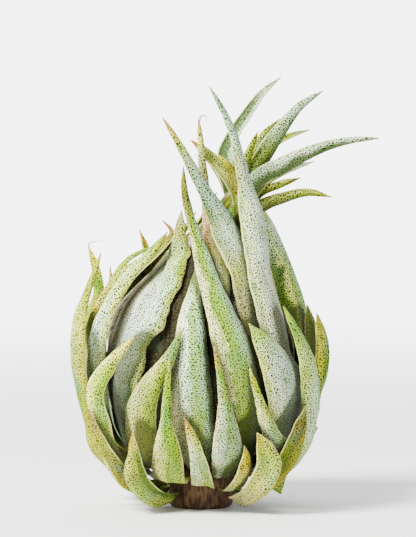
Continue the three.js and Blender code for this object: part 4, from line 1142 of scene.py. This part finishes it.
def speckled_skin(name, stops, bands=None, dots=0.97, warm=0.3, cool=0.4, margin_share=0.6,
                  crease_share=0.85, tone=1.0):
    """A leaf's skin: a colour that runs along the leaf, bands across it with their shares, partly
    painted light and painted shade, and pale shields with dark centres."""
    g = new_material(name)
    surface = g.uv("surface_mm")
    share = g.parts(g.uv("leaf_share"))
    across, along = share["X"], share["Y"]
    depths = g.parts(g.uv("recess_mm"))
    recess, crease = depths["X"], depths["Y"]
    place = g.place()
    # Patches of warmer and cooler skin
    warm_patch = g.noise(place, WARM_SCALE)
    cool_patch = g.noise(place, COOL_SCALE)
    run = g.sway(along, g.noise(surface, RUN_SCALE, 3.0, "2D"), RUN_SWAY)
    ground = g.ramp(run, colour_stops(stops)).outputs["Color"]
    ground = g.mix(g.step(warm_patch, *PATCH_STEP, 0.0, warm), ground, COLOURS["warm"])
    ground = g.mix(g.step(cool_patch, *PATCH_STEP, 0.0, cool), ground, COLOURS["cool"])
    # Bands across the leaf: its own colour strips, partly painted light (paler strips on sides facing the
    # light) and painted shade (greener and blue-grey strips on shaded sides)
    if bands:
        at = g.sway(across, g.noise(surface, BAND_SCALE, 2.0, "2D"), BAND_SWAY)
        band = g.ramp(at, colour_stops(bands))
        band_share = g.times(band.outputs["Alpha"], g.step(along, *BAND_FADE))
        ground = g.mix(band_share, ground, band.outputs["Color"])
    # Faint streaks that run along the leaf
    streak = g.noise(g.vector("MULTIPLY", surface, STREAK_STRETCH).outputs[0], 1.0, 3.0, "2D")
    ground = g.mix(g.step(streak, *STREAK_LIGHT_STEP), ground, STREAK_LIGHT, "MULTIPLY")
    ground = g.mix(g.step(streak, *STREAK_DARK_STEP), ground, STREAK_DARK, "MULTIPLY")
    # tone makes the leaf's whole skin lighter or darker: painted light on leaves that lie in shadow, painted
    # shade on others, and partly the leaf's own tone
    ground = g.mix(1.0, ground, (tone, tone, tone, 1.0), "MULTIPLY")
    # Shields: a dark centre in a pale ring, greener between the rings
    warp = g.node("ShaderNodeTexNoise", {"Vector": surface, "Scale": WARP_SCALE}, noise_dimensions="2D")
    moved = g.vector("MULTIPLY", warp.outputs["Color"], WARP_REACH)
    moved = g.vector("ADD", surface, moved.outputs[0])
    cell_inputs = {"Vector": moved.outputs[0], "Scale": 1 / SHIELD_STEP, "Randomness": SHIELD_SCATTER}
    cells = g.node("ShaderNodeTexVoronoi", cell_inputs, voronoi_dimensions="2D")
    lot = g.parts(cells.outputs["Color"])["X"]
    fibre = g.noise(surface, FIBRE_SCALE, 2.0, "2D")
    ground = g.mix(g.step(fibre, *SPARK_STEP), ground, SPARK, "MULTIPLY")
    ground = g.mix(g.step(fibre, *GRIT_STEP), ground, GRIT, "MULTIPLY")
    ragged = g.sway(cells.outputs["Distance"], fibre, FIBRE_SWAY)
    dot_from = g.math("ADD", g.times(lot, DOT_VARIES), DOT_RADIUS)
    dot = g.step(ragged, dot_from, g.math("ADD", dot_from, DOT_EDGE), 1.0, 0.0)
    ring = g.times(g.step(ragged, *RING_IN), g.step(ragged, *RING_OUT))
    ground = g.mix(g.times(ring, g.step(fibre, *RING_GRAIN)), ground, LIGHTER, "MULTIPLY")
    ground = g.mix(g.step(ragged, *BETWEEN_RINGS), ground, DARKER, "MULTIPLY")
    dark = g.mix(g.step(along, *SHEATH_TO_BLADE), DOT_SOFT, DOT_DARK)
    tip_fade = g.step(along, *DOTS_FADE)
    ground = g.mix(g.times(g.times(dot, dots), tip_fade), ground, dark)
    # Pale thin margins, then painted shade: dark olive in creases beside overlying leaves, and brown deep
    # between leaves, partly the brown of dry tissue there
    off = g.math("ABSOLUTE", g.math("SUBTRACT", across, 0.5))
    rim = g.times(g.step(off, *RIM_STEP), g.step(along, *RIM_GROWS))
    ground = g.mix(g.times(rim, margin_share), ground, PALE_MARGIN)
    ground = g.mix(g.step(crease, *CREASE_SHADE_STEP, 0.0, crease_share), ground, CREASE_SHADE)
    ground = g.mix(g.step(recess, *RECESS_SHADE_STEP), ground, COLOURS["deep_brown"])
    height = g.math("ADD", ring, g.times(fibre, 0.5))
    g.finish(ground, height, SKIN_RELIEF)
    return g.owner


def fuzz(name, dark, light):
    """Pale scale hairs."""
    g = new_material(name)
    grain = g.noise(g.place(), HAIR_SCALE, 1.0)
    g.finish(g.mix(g.step(grain, *GRAIN_STEP), dark, light), grain, HAIR_RELIEF, HAIR_SHEEN)
    return g.owner


def dry_skin(name, dark, light):
    """Brown papery tissue with fibres, for the stem, dry tips and threads."""
    g = new_material(name)
    place = g.place()
    fibre = g.noise(g.vector("MULTIPLY", place, DRY_STRETCH).outputs[0], DRY_SCALE, 4.0)
    patch = g.noise(place, DRY_PATCH_SCALE, 3.0)
    ground = g.mix(g.step(fibre, *GRAIN_STEP), dark, light)
    ground = g.mix(g.step(patch, *DRY_PATCH_STEP), ground, DRY_PATCH)
    g.finish(ground, fibre, DRY_RELIEF)
    return g.owner


# Looks. Heading: leaf and what differs from the usual skin. Then the colours from foot to tip, in
# percent of the length, and the bands from left to right, in percent of the width, with their shares.
# The bands across the leaves are partly painted light and painted shade of their lit and shaded sides
LOOKS = """
inner_leaf_centre tone=1.5
    0 deep_brown, 35 lilac, 62 lilac, 78 rose, 90 sky, 100 sky
    0 deep 70, 20 ash 50, 60 lilac 20, 100 rose 50
inner_leaf_neck
    0 sky, 60 teal, 85 vivid, 100 deep
    30 teal 50, 50 teal 50, 62 deep 95, 100 deep 95
frayed_tip_leaf
    0 silver, 35 olive, 50 rose, 70 beige, 90 pale, 100 brown
    50 olive 0, 70 olive 70, 100 olive 70
speckled_leaf_left dots=0.9 tone=1.1
    0 lilac, 60 lilac, 80 beige, 100 silver
    0 olive 67, 25 rose 48, 50 ash 48, 80 ash 38, 100 rose 48
arched_leaf_left
    0 pale, 50 pale, 75 fresh, 100 olive
    50 fresh 0, 70 fresh 72, 100 fresh 72
dried_tip_leaf dots=0.855
    0 pale, 50 fresh, 75 vivid, 90 yellow, 100 gold
wavy_leaf_left tone=1.25
    0 teal, 25 silver, 60 silver, 75 pale_green, 100 olive
    0 ash 58, 30 ash 38, 55 silver 19, 74 vivid 77, 88 yellow 67, 100 pale 77
shoulder_leaf_left
    0 pale, 40 fresh, 60 gold, 80 pale, 100 fresh
    50 fresh 0, 70 fresh 72, 100 fresh 72
tall_leaf_left tone=0.8
    0 lilac, 30 beige, 40 pale, 50 silver, 62 teal, 75 silver, 85 pale_green, 95 yellow, 100 orange
    0 olive 60, 20 shade_green 40, 45 silver 50, 60 cool 30, 85 ash 60, 100 olive 40
folded_leaf_right
    0 silver, 40 silver, 60 pale_green, 90 silver, 100 pale
    0 deep 90, 20 deep 85, 30 pale 80, 36 pale 80, 46 shade_green 60, 70 cool 50, 100 silver 50
tall_leaf_right
    0 silver, 30 lilac, 45 lilac, 62 silver, 80 silver, 95 teal, 100 grey_tip
    0 shade_green 70, 16 pale 60, 34 silver 20, 65 ash 40, 100 ash 80
broad_leaf_centre cool=0.5 tone=1.4
    0 silver, 20 cream, 45 silver, 75 silver, 100 pale_green
    10 cream 58, 40 silver 19, 54 vivid 80, 70 vivid 80, 82 cool 80, 100 deep 80
curved_leaf_left tone=1.4
    0 silver, 45 silver, 65 pale, 85 fresh, 100 olive
    0 pale 67, 30 silver 29, 55 cool 48, 75 pale 58, 100 fresh 67
tall_leaf_centre tone=0.95
    0 olive, 25 pale, 40 pale_green, 60 pale_green, 75 fresh, 86 olive, 97 olive, 100 grey_tip
    5 cream 85, 24 cream 55, 36 vivid 70, 54 vivid 60, 72 cool 70, 92 ash 80
slim_leaf_right
    0 pale, 60 pale_green, 100 olive
    0 deep 60, 30 deep 60, 50 deep 0
belly_leaf_right tone=1.1
    0 silver, 40 silver, 65 silver, 85 pale_green, 100 fresh
    0 pale 90, 10 pale 80, 25 silver 30, 50 ash 50, 80 ash 60, 100 cool 50
outer_leaf_right
    0 pale_green, 40 silver, 70 pale_green, 90 vivid, 100 fresh
    0 vivid 70, 20 pale 50, 50 silver 30, 100 cool 50
edge_leaf_left dots=0.85
    0 pale, 30 fresh, 50 vivid, 70 pale, 90 fresh, 100 gold
    50 yellow 0, 70 yellow 48, 100 yellow 48
edge_leaf_right tone=0.62
    0 pale, 40 pale_green, 70 vivid, 88 yellow, 100 gold
    0 yellow 84, 30 yellow 84, 50 yellow 0
belly_leaf_left tone=0.85
    0 pale, 35 pale, 60 pale_green, 80 fresh, 93 vivid, 100 yellow
    0 pale 48, 30 cream 58, 50 pale 19, 70 fresh 67, 100 vivid 58
outer_leaf_left tone=1.45
    0 pale, 50 pale, 75 fresh, 93 yellow, 100 gold
    0 yellow 58, 20 cream 58, 45 pale 19, 70 vivid 72, 100 shade_green 67
low_leaf_right tone=1.15
    0 pale_green, 50 silver, 70 pale, 86 fresh, 95 yellow, 100 yellow
    0 pale 58, 30 cream 48, 55 pale_green 29, 80 vivid 67, 100 olive 58
low_leaf_centre
    0 silver, 40 silver, 65 pale, 80 vivid, 92 gold, 100 orange
    0 cream 67, 30 silver 29, 55 vivid 67, 80 shade_green 67, 100 cool 67
low_leaf_left tone=1.1
    0 pale, 30 pale, 45 fresh, 65 vivid, 90 fresh, 100 gold
    0 cream 67, 30 pale 48, 50 vivid 67, 80 vivid 67, 100 olive 58
base_edge_leaf_left tone=0.7
    0 olive, 40 olive, 70 fresh, 90 gold, 100 brown
    0 yellow 60, 30 yellow 60, 50 yellow 0
base_leaf_left
    0 pale, 50 pale_green, 80 fresh, 92 gold, 100 gold
    50 deep 0, 70 deep 84, 100 deep 84
base_leaf_centre
    0 olive, 50 pale, 75 gold, 90 yellow, 100 gold
base_edge_leaf_right tone=0.45
    0 pale_green, 40 deep, 70 fresh, 90 olive, 100 fresh
    50 yellow 0, 70 yellow 100, 100 yellow 100
base_leaf_right
    0 beige, 40 pale, 70 pale_green, 86 yellow, 100 gold
base_leaf_front
    0 olive, 30 pale, 60 silver, 78 yellow, 92 gold, 100 orange
    0 cream 58, 40 silver 19, 65 fresh 67, 100 vivid 58
back_1
    0 silver, 50 silver, 75 pale_green, 92 fresh, 100 brown
back_2
    0 lilac, 45 silver, 70 pale, 90 fresh, 100 orange
    50 shade_green 0, 70 shade_green 48, 100 shade_green 48
back_3
    0 pale, 40 pale, 70 fresh, 93 yellow, 100 orange
back_4
    0 silver, 40 teal, 65 pale_green, 90 olive, 100 brown
    0 olive 60, 30 olive 60, 50 olive 0
fan warm=0.2
    0 fan_green, 50 fan_green, 90 silver, 100 grey_tip
    50 deep 0, 70 deep 80, 100 deep 80
fan_green warm=0.2 tone=0.85
    0 deep, 50 deep, 80 fresh, 94 olive, 100 yellow
    0 pale 50, 30 pale 50, 50 pale 0
fan_gold dots=0.8
    0 olive, 75 olive, 92 yellow, 100 gold
fan_brown
    0 pale, 50 pale, 85 pale, 93 orange, 100 brown
    0 deep 40, 30 deep 40, 50 deep 0
fan_shaded warm=0.2 tone=0.9
    0 fan_green, 50 silver, 90 silver, 100 grey_tip
    25 deep 0, 45 deep 85, 100 deep 90
heart dots=0.85 warm=0.1 cool=0.1 margin_share=0 crease_share=0.2
    0 heart_black, 41 heart_brown, 47 olive, 50 pale_green, 100 pale_green
    10 olive 0, 20 olive 80, 60 olive 80, 68 beige 60, 80 lilac 60, 84 lilac 0
"""

SKINS = {
    words[0]: speckled_skin(f"skin_{words[0]}", *lines, **options(words[1:]))
    for words, lines in blocks(LOOKS)
}
SKINS["hairs"] = fuzz("margin_hairs", srgb(204, 206, 164), srgb(190, 190, 165))
SKINS["dry"] = dry_skin("dry_tissue", srgb(112, 74, 46), srgb(178, 134, 92))
SKINS["bark"] = dry_skin("stem_bark", srgb(58, 42, 30), srgb(104, 80, 56))
BACK_SKINS = 4

# Dry threads, as offsets in millimetres from where they start
DRIED_THREAD = [[0, 0, -0.6], [0.1, 0, 0.5], [1.2, -0.2, 0.9], [2.6, -0.5, 1.1], [3.9, -0.6, 1.4]]
FRONT_THREAD = [[0, 0, -0.4], [0.3, -0.1, 0.8], [1.0, 0.1, 2.0], [1.8, 0.2, 3.3]]
DRIED_RADIUS = 0.16
FRONT_RADIUS = 0.14
FRAYED_RADIUS = 0.09
FRAYED_THREADS = 5
THREAD_STEPS = 6
THREAD_SIDES = 6
THREAD_TAPER = 0.8
THREAD_SIDE = (0.3, 0.9, 0.2)
FRAY_ASIDE = 0.3
FRAY_DEEP = 0.2
FRAY_BELOW = 0.8

# Leaf margins: how far they curl in, and their ragged width and level
LEAF_MARGIN = dict(curl_in=0.25, ragged=0.12, crinkle=0.1)
WAVY_MARGIN = dict(curl_in=0.25, ragged=0.3, crinkle=0.2)
FAN_MARGIN = dict(curl_in=0.1, ragged=0.06, crinkle=0.05)

# Seeds, and how far each next leaf's skin is moved on, in millimetres
LEAF_SEED = 1000
FAN_SEED = 2000
STEM_SEED = 3000
LEAF_UV = 3.7
FAN_UV = 11.3


def add_thread(parts, start, offsets, radius):
    """A thin dry thread along a path, thinner towards its end."""
    path = refine(start + np.array(offsets, float), [THREAD_STEPS] * (len(offsets) - 1))
    last = len(path) - 1
    points = []
    for i, p in enumerate(path):
        way = unit(path[min(i + 1, last)] - path[max(i - 1, 0)])
        side = unit(np.cross(way, THREAD_SIDE))
        up = np.cross(way, side)
        r = radius * (1 - THREAD_TAPER * i / last)
        for k in range(THREAD_SIDES):
            turn = 2 * math.pi * k / THREAD_SIDES
            points.append(p + side * r * math.cos(turn) + up * r * math.sin(turn))
    parts.add(points, tube_faces(len(path), THREAD_SIDES), DRY_SLOT)


def add_frayed_threads(parts, tip, rng):
    for _ in range(FRAYED_THREADS):
        lean, aside = (rng.uniform(-FRAY_ASIDE, FRAY_ASIDE) for _ in range(2))
        start = tip + np.array([aside, rng.uniform(-FRAY_DEEP, FRAY_DEEP), -FRAY_BELOW])
        offsets = [[0, 0, 0], [lean, 0, 1.2], [0.8 + lean, lean, 1.9], [1.6 + lean, lean, 1.2],
                   [1.7 + lean, lean * 2, 0.2]]
        add_thread(parts, start, offsets, FRAYED_RADIUS)


# Leaves
for number, (plan, net) in enumerate(LEAF_NETS):
    name = plan["name"]
    rng = random.Random(LEAF_SEED + number)
    parts = MeshParts()
    fine = fine_net(net)
    add_leaf(parts, fine, rng, first_uv=number * LEAF_UV, **(WAVY_MARGIN if "wave" in plan else LEAF_MARGIN))
    tip = fine[-1, FINE_COLUMNS // 2]
    if name == "dried_tip_leaf":
        add_thread(parts, tip, DRIED_THREAD, DRIED_RADIUS)
    if name == "frayed_tip_leaf":
        add_frayed_threads(parts, tip, rng)
    if name == "base_leaf_front":
        add_thread(parts, tip, FRONT_THREAD, FRONT_RADIUS)
    skin = SKINS.get(name) or SKINS[f"back_{number % BACK_SKINS + 1}"]
    materials = [skin, SKINS["hairs"], SKINS["dry"]]
    add_recess(build_object(f"{name}_skin", parts, materials, name))

# The heart's body with pressed inner leaves, then the fan's blades on it
HEART_AROUND = 120
HEART_UP = 90
HEART_UV = 90
HEART_SHARE = 0.5
HEART_MATERIALS = ["fan", "hairs", "dry", "heart", "fan_green", "fan_gold", "fan_brown", "fan_shaded"]


def heart_body(parts):
    points, shares, uvs = [], [], []
    for ring in range(HEART_UP + 1):
        along = MERIDIAN_LENGTH * ring / HEART_UP
        from_top = MERIDIAN_LENGTH - along
        calm = smooth_step(0, FOLDS_GROW, along) * smooth_step(NECK_CALM, FOLDS_GROW + NECK_CALM, from_top)
        for k in range(HEART_AROUND):
            turn = k / HEART_AROUND
            fold = (turn * HEART_FOLDS + along * HEART_TWIST) % 1
            points.append(bulb_point(turn * 2 * math.pi, along, -HEART_FOLD_DEPTH * fold * float(calm)))
            uvs.append([turn * HEART_UV, along])
            shares.append([turn, min(along / MERIDIAN_LENGTH, 1) * HEART_SHARE])
    parts.add(points, tube_faces(HEART_UP + 1, HEART_AROUND), HEART_MATERIALS.index("heart"), uvs, shares)


heart = MeshParts()
heart_body(heart)
for number, (words, lines) in enumerate(blocks(FAN_BLADES)):
    facing = [float(word) for word in words[1:]]
    net = fine_net(free_net(number_rows(lines), facing, math.radians(FAN_CURL)))
    slot = HEART_MATERIALS.index(words[0])
    add_leaf(heart, net, random.Random(FAN_SEED + number), first_uv=number * FAN_UV, slot=slot, **FAN_MARGIN)
# The heart's skin is near-black but for its top: painted shade of the deep gaps between the leaves
add_recess(build_object("heart_skin", heart, [SKINS[name] for name in HEART_MATERIALS], "heart"))

# The stem: rough bark with the dry bases of old leaves, flat underneath
STEM_AROUND = 96
STEM_UP = 26
STEM_EDGE = 0.8
BARK_INSET = 0.25
BARK_ROUGH = 0.16
BARK_FROM = 1.5
BARK_WAVES = 9
BARK_PHASES = 6.28


def bark_wave(m, turn, z, phase):
    """One of the waves around the stem, which wanders with the height."""
    wander = math.sin(z * (0.35 + 0.12 * m) + m)
    return math.sin(turn * (5 + 4 * m) + phase + wander) / (m + 2)


rng = random.Random(STEM_SEED)
phases = [rng.uniform(0, BARK_PHASES) for _ in range(BARK_WAVES)]
points = []
for ring in range(STEM_UP + 1):
    z = STEM_HEIGHT * ring / STEM_UP
    end = min(z, STEM_HEIGHT - z, STEM_EDGE)
    for k in range(STEM_AROUND):
        turn = 2 * math.pi * k / STEM_AROUND
        rough = sum(bark_wave(m, turn, z, phase) for m, phase in enumerate(phases))
        r = STEM_RADIUS - (STEM_EDGE - end) - BARK_INSET + BARK_ROUGH * rough * min(z / BARK_FROM, 1)
        points.append([r * math.sin(turn), -r * math.cos(turn), z])
stem = MeshParts()
stem.add(points, tube_faces(STEM_UP + 1, STEM_AROUND))
build_object("stem_bark", stem, [SKINS["bark"]], "stem")

# Floor, light and camera. The studio is brighter behind the plant than in front of it.
ROOM_COLOUR = srgb(243, 244, 248)
PAPER_COLOUR = srgb(214, 213, 211)
ROOM_FRONT = 0.75
ROOM_BACK = 6.6
ROOM_TURNS = (0.1, 0.75)
FLOOR_RADIUS = 8
FLOOR_FADE = (0.12, 0.7)
PAPER_SCALE = 700.0
PAPER_RELIEF = 0.00005


def room_light(g, way):
    """Brightness of the studio by direction, from the front to the back."""
    return g.step(g.parts(way)["Y"], *ROOM_TURNS, ROOM_FRONT, ROOM_BACK)


bpy.ops.mesh.primitive_circle_add(vertices=96, radius=FLOOR_RADIUS, fill_type="NGON")
floor = bpy.context.object
floor.name = "floor"
paper = new_material("floor_paper")
paper_place = paper.place()
paper_way = paper.vector("NORMALIZE", paper_place).outputs[0]
paper_reach = paper.vector("LENGTH", paper_place).outputs["Value"]
paper_room = room_light(paper, paper_way)
paper_glow = paper.times(paper_room, paper.step(paper_reach, *FLOOR_FADE))
paper_colour = paper.mix(paper.step(paper_reach, *FLOOR_FADE), PAPER_COLOUR, BLACK)
paper_grain = paper.noise(paper_place, PAPER_SCALE)
shader = paper.finish(paper_colour, paper_grain, PAPER_RELIEF)
shader.inputs["Emission Color"].default_value = ROOM_COLOUR
paper.feed(shader.inputs["Emission Strength"], paper_glow)
shader.inputs["Specular IOR Level"].default_value = 0.0
floor.data.materials.append(paper.owner)

sky = Graph(bpy.data.worlds.new("studio"))
bpy.context.scene.world = sky.owner
sky_way = sky.node("ShaderNodeTexCoord").outputs["Generated"]
background = sky.tree.nodes["Background"]
background.inputs["Color"].default_value = ROOM_COLOUR
sky.feed(background.inputs["Strength"], room_light(sky, sky_way))

LIGHT_AIM = Vector((0, 0, 0.05))


def area_light(name, place, size, power):
    data = bpy.data.lights.new(name, "AREA")
    data.shape = "DISK"
    data.size, data.energy = size, power
    light = bpy.data.objects.new(name, data)
    bpy.context.scene.collection.objects.link(light)
    light.location = place
    light.rotation_euler = (LIGHT_AIM - Vector(place)).to_track_quat("-Z", "Y").to_euler()


area_light("key", (-0.55, -0.5, 0.8), 0.4, 62)
area_light("fill", (0.7, -0.5, 0.35), 0.6, 2)

CAMERA_DISTANCE = 0.7
CAMERA_RISE = math.radians(3)
CAMERA_AIM = Vector((0.001645, 0, 0.05606))
SENSOR_WIDTH = 36
VIEW_HEIGHT = 0.1262
camera_data = bpy.data.cameras.new("camera")
camera_data.sensor_width = SENSOR_WIDTH
camera_data.lens = SENSOR_WIDTH * CAMERA_DISTANCE / VIEW_HEIGHT
camera = bpy.data.objects.new("camera", camera_data)
bpy.context.scene.collection.objects.link(camera)
back = Vector((0, -math.cos(CAMERA_RISE), math.sin(CAMERA_RISE)))
camera.location = CAMERA_AIM + back * CAMERA_DISTANCE
camera.rotation_euler = (-back).to_track_quat("-Z", "Y").to_euler()
bpy.context.scene.camera = camera
